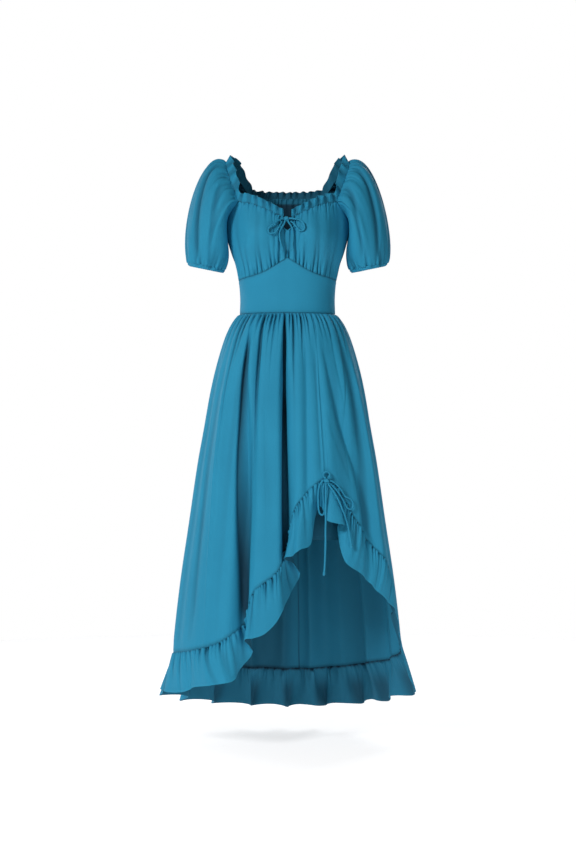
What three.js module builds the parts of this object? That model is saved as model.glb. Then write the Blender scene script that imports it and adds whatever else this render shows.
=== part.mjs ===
import * as THREE from "three";

// Renaissance dress, filled out as it is worn, in millimetres. Up is +Z, the front faces -Y and the wearer's left
// is +X. The origin is midway between the shoulders, level with where the gathered neckline rests on them.
// Every cloth piece is a thin wall over a surface worked out from the section tables below.

const CLOTH = 1.2; // thickness of one layer
const SEAM_GAP = 0.3; // between two pieces that are sewn together
const DEGREE = Math.PI / 180;
const ROUNDNESS = 2.3; // 2 is an ellipse; more is squarer

const WAIST_Z = -336;
const UNDERARM_Z = -150;
const NECK_CORNER = 60; // degrees from the front centre, where front neckline and sleeve meet
const BACK_CORNER = 131;
const SLIT_ANGLE_AT_WAIST = 33;
const SLIT_ANGLE = 28.5; // the front skirt's drawn-up seam, on the wearer's left
const LINING_HEM_Z = -859;

// Torso sections, upwards from the waist seam.
const TORSO = [
  { z: -336, side: 111.5, front: 87, back: 86 },
  { z: -300, side: 110.5, front: 86, back: 85 },
  { z: -270, side: 112.5, front: 88, back: 85 },
  { z: -242, side: 117, front: 91, back: 86 },
  { z: -214, side: 124, front: 96, back: 88 },
  { z: -200, side: 129.5, front: 98, back: 90 },
  { z: -180, side: 136, front: 100, back: 92 },
  { z: -150, side: 144, front: 101, back: 94 },
  { z: -120, side: 149, front: 99, back: 95 },
  { z: -80, side: 146, front: 94, back: 93 },
  { z: -40, side: 142, front: 88, back: 90 },
  { z: 10, side: 140, front: 80, back: 84 },
];

// Skirt sections, by the distance down from the waist seam.
const SKIRT = [
  { down: 0, side: 112.5, front: 88, back: 87 },
  { down: 9, side: 121, front: 95, back: 96 },
  { down: 23, side: 131, front: 103, back: 105 },
  { down: 47, side: 143, front: 112, back: 115 },
  { down: 75, side: 153, front: 119, back: 124 },
  { down: 132, side: 169, front: 131, back: 138 },
  { down: 188, side: 182, front: 140, back: 150 },
  { down: 273, side: 198, front: 150, back: 163 },
  { down: 343, side: 211, front: 158, back: 173 },
  { down: 484, side: 232, front: 171, back: 190 },
  { down: 625, side: 253, front: 183, back: 205 },
  { down: 766, side: 269, front: 193, back: 216 },
  { down: 870, side: 277, front: 198, back: 222 },
];

// The seam between skirt and flounce: angle from the front centre and height. It climbs to the drawn-up slit.
const HEM_SEAM = [
  { angle: -180, z: -1195 },
  { angle: -150, z: -1188 },
  { angle: -120, z: -1166 },
  { angle: -98, z: -1140 },
  { angle: -79, z: -1125 },
  { angle: -55, z: -1106 },
  { angle: -45, z: -1092 },
  { angle: -38, z: -1074 },
  { angle: -32, z: -1044 },
  { angle: -26, z: -984 },
  { angle: -18, z: -956 },
  { angle: -9, z: -932 },
  { angle: -3, z: -900 },
  { angle: 0, z: -862 },
  { angle: 3, z: -812 },
  { angle: 6, z: -783 },
  { angle: 12, z: -760 },
  { angle: 19, z: -738 },
  { angle: 25, z: -723 },
  { angle: 28.5, z: -718 },
  { angle: 33, z: -722 },
  { angle: 37, z: -731 },
  { angle: 42, z: -762 },
  { angle: 47, z: -798 },
  { angle: 52, z: -824 },
  { angle: 57, z: -848 },
  { angle: 64, z: -888 },
  { angle: 69, z: -916 },
  { angle: 74, z: -953 },
  { angle: 79, z: -988 },
  { angle: 83, z: -1034 },
  { angle: 87, z: -1086 },
  { angle: 92, z: -1120 },
  { angle: 104, z: -1148 },
  { angle: 120, z: -1166 },
  { angle: 150, z: -1188 },
  { angle: 180, z: -1195 },
];

// The skirt's large folds. A fold runs from angle `top` at the waist to angle `foot` at the hem, is `deep` at the
// foot (a negative one is a ridge), `left` and `right` degrees wide on its two sides, and opens between the
// distances `from` and `full` below the waist.
const SKIRT_FOLDS = [
  { top: -176, foot: -177, deep: 17, left: 5, right: 8, from: 30, full: 420 },
  { top: -152, foot: -155, deep: 24, left: 6, right: 5, from: 10, full: 300 },
  { top: -130, foot: -134, deep: 15, left: 6, right: 8, from: 80, full: 500 },
  { top: -109, foot: -112, deep: 20, left: 6, right: 5, from: 30, full: 380 },
  { top: -90, foot: -91, deep: 9, left: 5, right: 7, from: 60, full: 420 },
  { top: -74, foot: -71, deep: 5, left: 5, right: 6, from: 20, full: 350 },
  { top: -57, foot: -50, deep: -6, left: 7, right: 3, from: 60, full: 300 },
  { top: -43, foot: -33.5, deep: 24, left: 3, right: 5, from: 8, full: 260 },
  { top: -31, foot: -26.5, deep: 8, left: 5, right: 4, from: 5, full: 120 },
  { top: -4.5, foot: -1.5, deep: 32, left: 2.6, right: 5.5, from: 3, full: 170 },
  { top: 20, foot: 16, deep: 7, left: 4, right: 5, from: 8, full: 160 },
  { top: 35, foot: 58, deep: 13, left: 4, right: 5, from: 60, full: 330 },
  { top: 64, foot: 66, deep: -7, left: 3, right: 7, from: 60, full: 300 },
  { top: 80, foot: 82, deep: 12, left: 5, right: 6, from: 60, full: 400 },
  { top: 99, foot: 103, deep: 17, left: 5, right: 6, from: 20, full: 350 },
  { top: 118, foot: 122, deep: 40, left: 8, right: 5, from: 50, full: 420 },
  { top: 140, foot: 144, deep: 16, left: 6, right: 7, from: 30, full: 400 },
  { top: 160, foot: 164, deep: 24, left: 5, right: 6, from: 10, full: 300 },
];

// The hand-set flutes of the front flounces: where on the seam (angle), and how far the free edge lies to the
// wearer's left (+X), below and outside that point of the seam.
const FRONT_FLUTES = [
  { angle: -98, across: 6, drop: 92, out: 26 },
  { angle: -90, across: -4, drop: 83, out: 32 },
  { angle: -84, across: 12, drop: 89, out: 34 },
  { angle: -76, across: 26, drop: 93, out: 30 },
  { angle: -69, across: 24, drop: 92, out: 20 },
  { angle: -65, across: 15, drop: 88, out: 4 },
  { angle: -62, across: 0, drop: 86, out: -8 },
  { angle: -59, across: 14, drop: 84, out: 8 },
  { angle: -53, across: 36, drop: 84, out: 28 },
  { angle: -47, across: 43, drop: 86, out: 34 },
  { angle: -42, across: 36, drop: 92, out: 26 },
  { angle: -38.5, across: 21, drop: 96, out: 8 },
  { angle: -35.5, across: -1, drop: 85, out: -18 },
  { angle: -32.5, across: 1, drop: 70, out: -30 },
  { angle: -30.5, across: 3, drop: 70, out: -10 },
  { angle: -28.5, across: 0, drop: 78, out: 22 },
  { angle: -25, across: 12, drop: 101, out: 34 },
  { angle: -19, across: 20, drop: 109, out: 38 },
  { angle: -12.5, across: 16, drop: 104, out: 32 },
  { angle: -7, across: 12, drop: 92, out: 20 },
  { angle: -4, across: 9, drop: 88, out: 2 },
  { angle: -2.2, across: 19, drop: 78, out: -22 },
  { angle: -0.8, across: 29, drop: 66, out: -30 },
  { angle: 0.6, across: 12, drop: 62, out: -4 },
  { angle: 2, across: -13, drop: 75, out: 24 },
  { angle: 5, across: -9, drop: 104, out: 34 },
  { angle: 10, across: -5, drop: 112, out: 36 },
  { angle: 15, across: 2, drop: 117, out: 26 },
  { angle: 18.5, across: 3, drop: 87, out: 6 },
  { angle: 22, across: 6, drop: 64, out: -16 },
  { angle: 26, across: 5, drop: 59, out: -24 },
  { angle: 29, across: -4, drop: 73, out: 2 },
  { angle: 31, across: -12, drop: 92, out: 18 },
  { angle: 34, across: -7, drop: 96, out: 27 },
  { angle: 37.5, across: 8, drop: 92, out: 20 },
  { angle: 39.5, across: 11, drop: 81, out: -2 },
  { angle: 41.5, across: 6, drop: 74, out: -24 },
  { angle: 44, across: -11, drop: 84, out: -10 },
  { angle: 46, across: -26, drop: 101, out: 10 },
  { angle: 48.5, across: -39, drop: 106, out: 26 },
  { angle: 54, across: -30, drop: 102, out: 31 },
  { angle: 60, across: -19, drop: 95, out: 26 },
  { angle: 66, across: -31, drop: 83, out: 22 },
  { angle: 72, across: -22, drop: 67, out: 18 },
  { angle: 77, across: -6, drop: 55, out: 14 },
  { angle: 81.5, across: 11, drop: 76, out: 6 },
  { angle: 86, across: 4, drop: 90, out: 16 },
  { angle: 91, across: 0, drop: 104, out: 32 },
  { angle: 98, across: -2, drop: 92, out: 34 },
];
const BACK_FLUTES = 8; // flutes across the back flounce
const BACK_FLUTE = { flare: 22, wave: 19, sway: 10, drop: 95, lift: 5 };

// The neckline: angle from the front centre and height on the torso, front and back.
const FRONT_NECK = [
  { angle: 0, z: -120 },
  { angle: 14, z: -109 },
  { angle: 31, z: -95 },
  { angle: 46, z: -83 },
  { angle: NECK_CORNER, z: -77 },
];
const BACK_NECK = [
  { angle: BACK_CORNER, z: -50 },
  { angle: 150, z: -52 },
  { angle: 180, z: -53 },
];
const SHOULDER = { x: 144, y: 0, z: 23 };
const UNDERBUST = [
  { angle: 0, z: -210 },
  { angle: 14, z: -224 },
  { angle: 29, z: -238 },
  { angle: 43, z: -247 },
  { angle: 65, z: -254 },
  { angle: 90, z: -258 },
];
const BUST = { across: 66, z: -156, forward: 28, wide: 48, above: 54, below: 48 };

// Half of the front slit's width, down from the neckline: a narrow mouth and a round keyhole.
const KEYHOLE = [
  { share: 0, half: 2.5 },
  { share: 0.08, half: 8.5 },
  { share: 0.16, half: 11 },
  { share: 0.24, half: 8 },
  { share: 0.31, half: 0 },
];
const KEYHOLE_REACH = 18; // degrees over which the cloth is pushed aside

// Puff sleeve: control points of its lengthwise curves, by share round the armhole from the underarm, forwards.
// `go` is the way that the cloth leaves the armhole, and `come` the way back up from the cuff.
const SLEEVE = [
  { share: 0, goX: 3, goY: 0, goZ: -26, comeX: -16, comeY: 0, comeZ: 24 },
  { share: 0.125, goX: 4, goY: -28, goZ: -18, comeX: -40, comeY: -26, comeZ: 30 },
  { share: 0.25, goX: 30, goY: -46, goZ: 8, comeX: -6, comeY: -44, comeZ: 56 },
  { share: 0.375, goX: 58, goY: -34, goZ: 38, comeX: 26, comeY: -25, comeZ: 50 },
  { share: 0.5, goX: 66, goY: 0, goZ: 50, comeX: 39, comeY: 0, comeZ: 38 },
  { share: 0.625, goX: 58, goY: 34, goZ: 38, comeX: 26, comeY: 25, comeZ: 50 },
  { share: 0.75, goX: 34, goY: 44, goZ: 8, comeX: 0, comeY: 42, comeZ: 56 },
  { share: 0.875, goX: 12, goY: 28, goZ: -14, comeX: -16, comeY: 28, comeZ: 40 },
  { share: 1, goX: 3, goY: 0, goZ: -26, comeX: -16, comeY: 0, comeZ: 24 },
];
const CUFF = { x: 190, z: -229, halfX: 39, halfY: 50, tilt: 8 };

// Long soft troughs down each sleeve: share round at the armhole and at the cuff, depth and half width.
const SLEEVE_FOLDS = {
  left: [
    { top: 0.4, foot: 0.3, deep: 13, wide: 0.03 },
    { top: 0.3, foot: 0.2, deep: 8, wide: 0.028 },
    { top: 0.5, foot: 0.46, deep: 5, wide: 0.03 },
    { top: 0.62, foot: 0.6, deep: 9, wide: 0.035 },
    { top: 0.76, foot: 0.8, deep: 8, wide: 0.03 },
  ],
  right: [
    { top: 0.44, foot: 0.31, deep: 13, wide: 0.03 },
    { top: 0.34, foot: 0.22, deep: 6, wide: 0.03 },
    { top: 0.52, foot: 0.42, deep: 6, wide: 0.028 },
    { top: 0.66, foot: 0.63, deep: 9, wide: 0.035 },
    { top: 0.78, foot: 0.82, deep: 7, wide: 0.03 },
  ],
};

const WAIST_GATHER = { deep: 4, shortest: 60, longest: 220 };
const BUST_GATHER = { deep: 1.8, top: 34, foot: 40 };
const SLEEVE_GATHER = { deep: 3, top: 0.18, foot: 0.12 };
const FLOUNCE_GATHER = { deep: 1.7, reach: 0.34 };
const RUFFLE_WAVE = 4.2; // of the neckline ruffle, to either side
const EVEN_STEPS = 0.75; // how far the skirt columns even out along the hem seam
const SEAM_INSET = 0.1; // degrees at the waist, half of the gap between two skirt panels
const TIE = { radius: 2.25, sides: 8, step: 12 };

// The drawstring ties. Each lies just outside the cloth, through these points (x, y, z).
const KNOTS = {
  neck_tie_knot: { at: [-2.5, -107, -122], half: [6, 4.6, 5.5] },
  skirt_tie_knot: { at: [89, -159, -722.5], half: [6, 4.8, 6] },
};
const TIES = {
  neck_tie_loop_right: [
    [-9.3, -108, -120.6],
    [-20, -114.5, -126],
    [-33, -122.5, -136],
    [-43.5, -124.5, -147],
    [-41.5, -124.5, -156],
    [-29, -122.5, -155],
    [-20, -119.5, -143],
    [-12.5, -110, -128.8],
  ],
  neck_tie_loop_left: [
    [3.8, -108, -121],
    [16, -113.5, -122.5],
    [28, -117, -125.5],
    [37.5, -122.5, -135],
    [38.5, -123.5, -146],
    [30, -121, -150.5],
    [20.5, -119, -141],
    [13, -113.5, -132],
    [7.5, -110, -127.8],
  ],
  neck_tie_tail_right: [
    [-5.3, -110.6, -126.2],
    [-7, -113, -132],
    [-11.5, -115, -140],
    [-17.5, -116.5, -152],
    [-17.5, -116, -167],
    [-14.5, -112.5, -180],
    [-11.5, -110, -192.5],
  ],
  neck_tie_tail_left: [
    [0.4, -110.6, -126.2],
    [3, -112, -131],
    [8.5, -113, -139],
    [12.5, -114.5, -153],
    [12.5, -114, -168],
    [11.5, -111, -182.5],
    [13, -108.5, -195],
  ],
  skirt_tie_ring: [
    [86.8, -160.3, -715.9],
    [82, -160, -711.5],
    [81.5, -159, -705],
    [87, -158.5, -701],
    [93.5, -158.5, -702.5],
    [96, -159.3, -709.5],
    [91.9, -160.3, -716.3],
  ],
  skirt_tie_loop_right: [
    [81.4, -159.6, -720],
    [75, -161, -727],
    [70.5, -160, -741],
    [70, -158, -761],
    [72.5, -153, -785],
    [78, -155, -799],
    [81, -162, -782],
    [80.5, -161, -755],
    [81.5, -160, -737],
    [83.8, -158, -727.9],
  ],
  skirt_tie_loop_left: [
    [96.1, -159.6, -720.7],
    [104, -159.3, -724],
    [112, -157, -730],
    [121.5, -153.5, -741.5],
    [131.5, -150.5, -757],
    [143, -145.5, -763],
    [149.5, -143, -774.5],
    [145, -146.5, -786.5],
    [136, -150.5, -783],
    [127.5, -153.5, -768],
    [115, -157, -747],
    [105, -158.3, -735.5],
    [94.6, -157.6, -726.8],
  ],
  skirt_tie_tail_right: [
    [87, -163.9, -727.2],
    [87, -166, -737],
    [86.8, -167, -753],
    [86.5, -168, -787],
    [86.5, -170, -812],
    [86, -170, -832],
    [86, -169.5, -855],
    [85.5, -169, -878],
    [84.5, -168, -910],
    [82.5, -167, -934],
  ],
  skirt_tie_tail_left: [
    [91.5, -164, -726.8],
    [95.5, -166, -733],
    [105, -167.5, -746],
    [116, -167, -766],
    [124.5, -161, -786],
    [131.5, -155.5, -805],
    [137.5, -154, -827],
    [142, -156, -849.5],
    [145, -158, -871],
  ],
};

// Columns round each piece: two make one gather, and in the skirt a little under four.
const COLUMNS = {
  frontRight: 54,
  frontLeft: 28,
  back: 48,
  bustHalf: 22,
  backBodice: 24,
  sleeve: 32,
  lining: 40,
};
const WAVES = { front: 6, sleeve: 8, back: 10 };
const SKIRT_ROWS = [0, 0.012, 0.035, 0.08, 0.16, 0.3, 0.5, 0.74, 1];
const FLOUNCE_ROWS = [0, 0.06, 0.3, 0.62, 1];
const BUST_ROWS = [0, 0.08, 0.16, 0.24, 0.31, 0.5, 0.7, 0.87, 1];
const SLEEVE_ROWS = [0, 0.035, 0.13, 0.28, 0.46, 0.64, 0.8, 0.91, 0.965, 1];

const teal = new THREE.Color().setRGB(0.13, 0.5, 0.66, THREE.SRGBColorSpace);
const deepTeal = new THREE.Color().setRGB(0.1, 0.4, 0.54, THREE.SRGBColorSpace);
const cloth = new THREE.MeshStandardMaterial({ color: teal, roughness: 0.78, metalness: 0 });
const liningCloth = new THREE.MeshStandardMaterial({ color: deepTeal, roughness: 0.7, metalness: 0 });
const tieCloth = new THREE.MeshStandardMaterial({ color: teal, roughness: 0.7, metalness: 0 });

const mix = (a, b, share) => a + (b - a) * share;
const smooth = (from, to, at) => {
  const share = Math.min(1, Math.max(0, (at - from) / (to - from)));
  return share * share * (3 - 2 * share);
};
const evenly = (count, from, to) => Array.from({ length: count + 1 }, (_, i) => mix(from, to, i / count));

// A smooth curve through a table's rows, in which `key` rises from row to row.
function through(rows, key, column, at) {
  const last = rows.length - 1;
  if (at <= rows[0][key]) return rows[0][column];
  if (at >= rows[last][key]) return rows[last][column];
  let i = 0;
  while (at > rows[i + 1][key]) i += 1;
  const slope = (a) => (rows[a + 1][column] - rows[a][column]) / (rows[a + 1][key] - rows[a][key]);
  const here = slope(i);
  const enter = i > 0 ? (slope(i - 1) + here) / 2 : here;
  const leave = i < last - 1 ? (here + slope(i + 1)) / 2 : here;
  const span = rows[i + 1][key] - rows[i][key];
  const t = (at - rows[i][key]) / span;
  const rise = rows[i + 1][column] - rows[i][column];
  return rows[i][column] + enter * span * (t - 2 * t * t + t ** 3)
    + rise * (3 * t * t - 2 * t ** 3) + leave * span * (t ** 3 - t * t);
}

// An uneven but fixed number from 0 to 1 for the k-th gather.
const uneven = (k) => Math.abs((Math.sin(k * 12.9898 + 4.1) * 43758.5453) % 1);

// The swing of uneven gathers, from column to column: a little under four columns to each.
const ripple = (column) => Math.sin(1.75 * column + 0.8 * Math.sin(0.61 * column));

// The distance from the axis to a squarish oval, at an angle from the front centre.
function ovalRadius(angle, side, front, back) {
  const c = Math.cos(angle * DEGREE);
  const s = Math.sin(angle * DEGREE);
  const depth = c > 0 ? front : back;
  return (Math.abs(s / side) ** ROUNDNESS + Math.abs(c / depth) ** ROUNDNESS) ** (-1 / ROUNDNESS);
}

const atRadius = (angle, radius, z) =>
  new THREE.Vector3(radius * Math.sin(angle * DEGREE), -radius * Math.cos(angle * DEGREE), z);

// The plain torso under the bodice, on a general figure.
function torsoPoint(angle, z) {
  const section = (column) => through(TORSO, "z", column, z);
  const point = atRadius(angle, ovalRadius(angle, section("side"), section("front"), section("back")), z);
  if (Math.cos(angle * DEGREE) > 0) {
    const tall = z > BUST.z ? BUST.above : BUST.below;
    const aside = (Math.abs(point.x) - BUST.across) / BUST.wide;
    point.y -= BUST.forward * Math.exp(-aside * aside - ((z - BUST.z) / tall) ** 2);
  }
  return point;
}

// The outward normal of a surface of (across, down), in which `down` grows downwards.
function normalOf(surface, u, v, du, dv) {
  const across = surface(u + du, v).sub(surface(u - du, v));
  const down = surface(u, v + dv).sub(surface(u, v - dv));
  return down.cross(across).normalize();
}

// A closed wall of cloth over grids of points: half the cloth outside them and half inside. Points that coincide
// are sewn into one, so a tube closes, a slit ends and two grids join.
function wall(grids, rows, pointAt, normalAt, mirrored = false) {
  const points = [];
  const normals = [];
  const places = new Map();
  const quads = [];
  for (const columns of grids) {
    const indexAt = columns.map((column, i) => rows.map((row, j) => {
      const point = pointAt(column, row, i, j);
      const key = [point.x, point.y, point.z].map((n) => Math.round(n * 1000)).join();
      if (!places.has(key)) {
        places.set(key, points.length);
        points.push(point);
        normals.push(normalAt(column, row, i, j).clone());
      } else {
        normals[places.get(key)].add(normalAt(column, row, i, j));
      }
      return places.get(key);
    }));
    for (let i = 0; i < columns.length - 1; i += 1) {
      for (let j = 0; j < rows.length - 1; j += 1) {
        quads.push([indexAt[i][j], indexAt[i][j + 1], indexAt[i + 1][j + 1], indexAt[i + 1][j]]);
      }
    }
  }
  return closedWall(points, normals, quads, mirrored);
}

function closedWall(points, normals, quads, mirrored) {
  const count = points.length;
  const position = [];
  for (const sign of [1, -1]) {
    points.forEach((point, i) => {
      const moved = normals[i].clone().normalize().multiplyScalar(sign * CLOTH / 2).add(point);
      position.push(mirrored ? -moved.x : moved.x, moved.y, moved.z);
    });
  }
  const faces = [];
  const edges = new Map();
  for (const [a, b, c, d] of quads) {
    const shortDiagonal = points[a].distanceTo(points[c]) <= points[b].distanceTo(points[d]);
    const halves = shortDiagonal ? [[a, b, c], [a, c, d]] : [[a, b, d], [b, c, d]];
    for (const [p, q, r] of halves) {
      faces.push([p, q, r], [p + count, r + count, q + count]);
      for (const [from, to] of [[p, q], [q, r], [r, p]]) edges.set(from + "," + to, [from, to]);
    }
  }
  for (const [from, to] of edges.values()) {
    if (edges.has(to + "," + from)) continue;
    faces.push([to, from, from + count], [to, from + count, to + count]);
  }
  const index = faces.flatMap(([p, q, r]) => (mirrored ? [p, r, q] : [p, q, r]));
  const geometry = new THREE.BufferGeometry();
  geometry.setAttribute("position", new THREE.Float32BufferAttribute(position, 3));
  geometry.setIndex(index);
  return geometry;
}

const dress = new THREE.Group();

function add(name, geometry, material = cloth) {
  const mesh = new THREE.Mesh(geometry, material);
  mesh.name = name;
  dress.add(mesh);
}

// Seam lines on the torso, by the angle from the front centre on either side.
const armholeShare = (angle, corner) => Math.abs(angle - 90) / Math.abs(corner - 90);

function frontTopZ(angle) {
  const aside = Math.abs(angle);
  if (aside <= NECK_CORNER) return through(FRONT_NECK, "angle", "z", aside);
  const corner = through(FRONT_NECK, "angle", "z", NECK_CORNER);
  return mix(UNDERARM_Z, corner, armholeShare(aside, NECK_CORNER) ** 1.25);
}

function backTopZ(angle) {
  const aside = Math.abs(angle) > 180 ? 360 - Math.abs(angle) : Math.abs(angle);
  if (aside >= BACK_CORNER) return through(BACK_NECK, "angle", "z", aside);
  const corner = through(BACK_NECK, "angle", "z", BACK_CORNER);
  return mix(UNDERARM_Z, corner, armholeShare(aside, BACK_CORNER) ** 1.25);
}

const underbustZ = (angle) => through(UNDERBUST, "angle", "z", Math.min(90, Math.abs(angle)));

const torsoNormal = (angle, z) => normalOf((a, down) => torsoPoint(a, -down), angle, -z, 0.5, 1);

// The gathered bust panel: one cloth, slit at the front centre down to a keyhole.
function buildBust() {
  const surface = (angle, share) => {
    const top = frontTopZ(angle) - SEAM_GAP;
    const foot = underbustZ(angle) + SEAM_GAP / 2;
    return torsoPoint(angle, mix(top, foot, share));
  };
  const normal = (angle, share) => torsoNormal(angle, surface(angle, share).z);
  const half = (from, to, side, first) =>
    evenly(COLUMNS.bustHalf, from, to).map((angle, i) => ({ angle, side, gather: first + i }));
  const halves = [half(-90 + 0.08, 0, -1, 0), half(0, 90 - 0.08, 1, COLUMNS.bustHalf)];
  const pointAt = ({ angle, side, gather }, share) => {
    const point = surface(angle, share);
    const top = frontTopZ(angle);
    const foot = underbustZ(angle);
    const swing = gather % 2 ? 1 : -1;
    const aside = Math.abs(angle);
    const upper = smooth(0, 0.08, share) * Math.exp(-(top - point.z) / BUST_GATHER.top);
    const lower = smooth(1, 0.9, share) * Math.exp(-(point.z - foot) / BUST_GATHER.foot);
    const edges = upper * smooth(66, 56, aside) + lower * smooth(88, 76, aside);
    const deep = BUST_GATHER.deep * (0.5 + uneven(gather)) * mix(1.7, 1, smooth(8, 40, aside));
    point.addScaledVector(normal(angle, share), swing * deep * edges);
    const pushed = Math.max(0, 1 - Math.abs(angle) / KEYHOLE_REACH) ** 2;
    point.x += side * pushed * through(KEYHOLE, "share", "half", share);
    return point;
  };
  return wall(halves, BUST_ROWS, pointAt, ({ angle }, share) => normal(angle, share));
}

// A plain panel of the bodice between two heights that may change with the angle.
function torsoPanel(columns, rows, topOf, footOf, liftAt = () => 0) {
  const zAt = (angle, share) => mix(topOf(angle), footOf(angle), share);
  const pointAt = (angle, share, i) => {
    const z = zAt(angle, share);
    return torsoPoint(angle, z).addScaledVector(torsoNormal(angle, z), liftAt(angle, share, i));
  };
  return wall([columns], rows, pointAt, (angle, share) => torsoNormal(angle, zAt(angle, share)));
}

function buildBodice() {
  add("bust_front", buildBust());
  const frontColumns = evenly(2 * COLUMNS.bustHalf, -90 + 0.08, 90 - 0.08);
  const waistTop = WAIST_Z + SEAM_GAP / 2;
  const underbust = (angle) => underbustZ(angle) - SEAM_GAP / 2;
  add("midriff_front", torsoPanel(frontColumns, [0, 0.5, 1], underbust, () => waistTop));
  const backColumns = evenly(COLUMNS.backBodice, 90 + 0.08, 270 - 0.08);
  const yokeFoot = underbustZ(90);
  const gathers = (angle, share, i) => {
    const inside = smooth(90, 100, angle) * smooth(270, 260, angle);
    const edge = smooth(0, 0.06, share) * Math.exp(-share * 3.4) * inside;
    return (i % 2 ? 1 : -1) * BUST_GATHER.deep * (0.5 + uneven(i + 70)) * edge;
  };
  add("bodice_back", torsoPanel(backColumns, [0, 0.07, 0.25, 0.55, 1], (a) => backTopZ(a) - SEAM_GAP,
    () => yokeFoot + SEAM_GAP / 2, gathers));
  add("midriff_back", torsoPanel(backColumns, [0, 0.5, 1], () => yokeFoot - SEAM_GAP / 2, () => waistTop));
}

// The neckline from the front centre (0) over the wearer's left shoulder to the back centre (3), and the way up
// that the ruffle stands. Each whole number is a seam corner.
function necklineAt(part) {
  if (part <= 1) {
    const angle = mix(0, NECK_CORNER, part);
    return torsoPoint(angle, frontTopZ(angle));
  }
  if (part >= 2) {
    const angle = mix(BACK_CORNER, 180, part - 2);
    return torsoPoint(angle, backTopZ(angle));
  }
  const front = torsoPoint(NECK_CORNER, frontTopZ(NECK_CORNER));
  const back = torsoPoint(BACK_CORNER, backTopZ(BACK_CORNER));
  const share = part - 1;
  const arch = Math.sin(Math.PI * share) ** 0.9;
  const base = front.lerp(back, share);
  const middleX = (torsoPoint(NECK_CORNER, frontTopZ(NECK_CORNER)).x + back.x) / 2;
  const middleZ = (frontTopZ(NECK_CORNER) + backTopZ(BACK_CORNER)) / 2;
  base.x += (SHOULDER.x - middleX) * arch;
  base.z += (SHOULDER.z - middleZ) * arch;
  return base;
}

const RUFFLE_STAND = [
  { part: 0, x: 0, y: -0.2, tall: 16 },
  { part: 0.7, x: -0.05, y: -0.2, tall: 20 },
  { part: 1, x: -0.35, y: -0.15, tall: 20 },
  { part: 1.2, x: -0.95, y: -0.05, tall: 22 },
  { part: 1.4, x: -1.35, y: 0, tall: 25 },
  { part: 1.5, x: -0.8, y: 0, tall: 22 },
  { part: 1.65, x: -1.1, y: 0, tall: 24 },
  { part: 1.85, x: -0.6, y: 0, tall: 22 },
  { part: 2, x: -0.25, y: 0.1, tall: 19 },
  { part: 3, x: 0, y: 0.1, tall: 17 },
];

function ruffleWay(part) {
  const x = through(RUFFLE_STAND, "part", "x", part);
  const y = through(RUFFLE_STAND, "part", "y", part);
  return new THREE.Vector3(x, y, 1).normalize();
}

// The ruffle above the gathered casing, from one place on the neckline to another.
function neckRuffle(from, to, waves) {
  const perWave = 4;
  const surface = (part, share, swing) => {
    const base = necklineAt(part);
    const up = ruffleWay(part);
    const along = necklineAt(part + 0.01).sub(necklineAt(part - 0.01)).normalize();
    const out = along.clone().cross(up).normalize();
    const tall = through(RUFFLE_STAND, "part", "tall", part) * (1 + 0.1 * Math.sin(part * 47));
    return base.addScaledVector(up, share * tall + 0.35).addScaledVector(out, swing * RUFFLE_WAVE * share);
  };
  const count = waves * perWave;
  const columns = evenly(count, from, to);
  const size = (i) => 0.7 + 0.6 * uneven(Math.floor(i / 2) + from * 9);
  const swingAt = (i) => Math.sin((2 * Math.PI * i) / perWave) * size(i);
  const pointAt = (part, share, i) => surface(part, 1 - share, swingAt(i));
  const facing = (part, share, i) => {
    const before = pointAt(columns[Math.max(0, i - 1)], share, Math.max(0, i - 1));
    const after = pointAt(columns[Math.min(count, i + 1)], share, Math.min(count, i + 1));
    const down = ruffleWay(part).negate();
    return down.cross(after.sub(before)).normalize();
  };
  return { columns, rows: [0, 0.5, 1], pointAt, facing };
}

function buildNeckRuffles() {
  const gap = 0.007; // of a neckline part
  for (const [side, mirrored] of [["left", false], ["right", true]]) {
    const front = neckRuffle(0.09, 1 - gap, WAVES.front);
    const sleeve = neckRuffle(1 + gap / 2, 2 - gap / 2, WAVES.sleeve);
    for (const [place, { columns, rows, pointAt, facing }] of [["front_", front], ["sleeve_", sleeve]]) {
      add("neck_ruffle_" + place + side, wall([columns], rows, pointAt, facing, mirrored));
    }
  }
  const back = neckRuffle(2 + gap, 4 - gap, WAVES.back);
  const round = (part) => (part <= 3 ? part : 6 - part);
  const turned = (point, part) => (part <= 3 ? point : point.setX(-point.x));
  const pointAt = (part, share, i) => turned(back.pointAt(round(part), share, i), part);
  const facing = (part, share, i) => {
    const last = back.columns.length - 1;
    const a = pointAt(back.columns[Math.max(0, i - 1)], share, Math.max(0, i - 1));
    const b = pointAt(back.columns[Math.min(last, i + 1)], share, Math.min(last, i + 1));
    return ruffleWay(3).negate().cross(b.sub(a)).normalize();
  };
  add("neck_ruffle_back", wall([back.columns], back.rows, pointAt, facing));
}

// The armhole loop of the wearer's left sleeve: underarm, front seam, over the shoulder, back seam.
function armholeAt(share) {
  const loop = ((share % 1) + 1) % 1;
  if (loop <= 0.25) {
    const angle = mix(90, NECK_CORNER, loop / 0.25);
    return torsoPoint(angle, frontTopZ(angle));
  }
  if (loop >= 0.75) {
    const angle = mix(BACK_CORNER, 90, (loop - 0.75) / 0.25);
    return torsoPoint(angle, backTopZ(angle));
  }
  return necklineAt(1 + (loop - 0.25) / 0.5);
}

// The way out of the body, level, beside the armhole.
function armholeOut(loop) {
  const front = loop < 0.5;
  const share = Math.min(1, (front ? loop : 1 - loop) / 0.25);
  const angle = mix(90, front ? NECK_CORNER : BACK_CORNER, share);
  return torsoNormal(angle, front ? frontTopZ(angle) : backTopZ(angle)).setZ(0).normalize();
}

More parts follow.
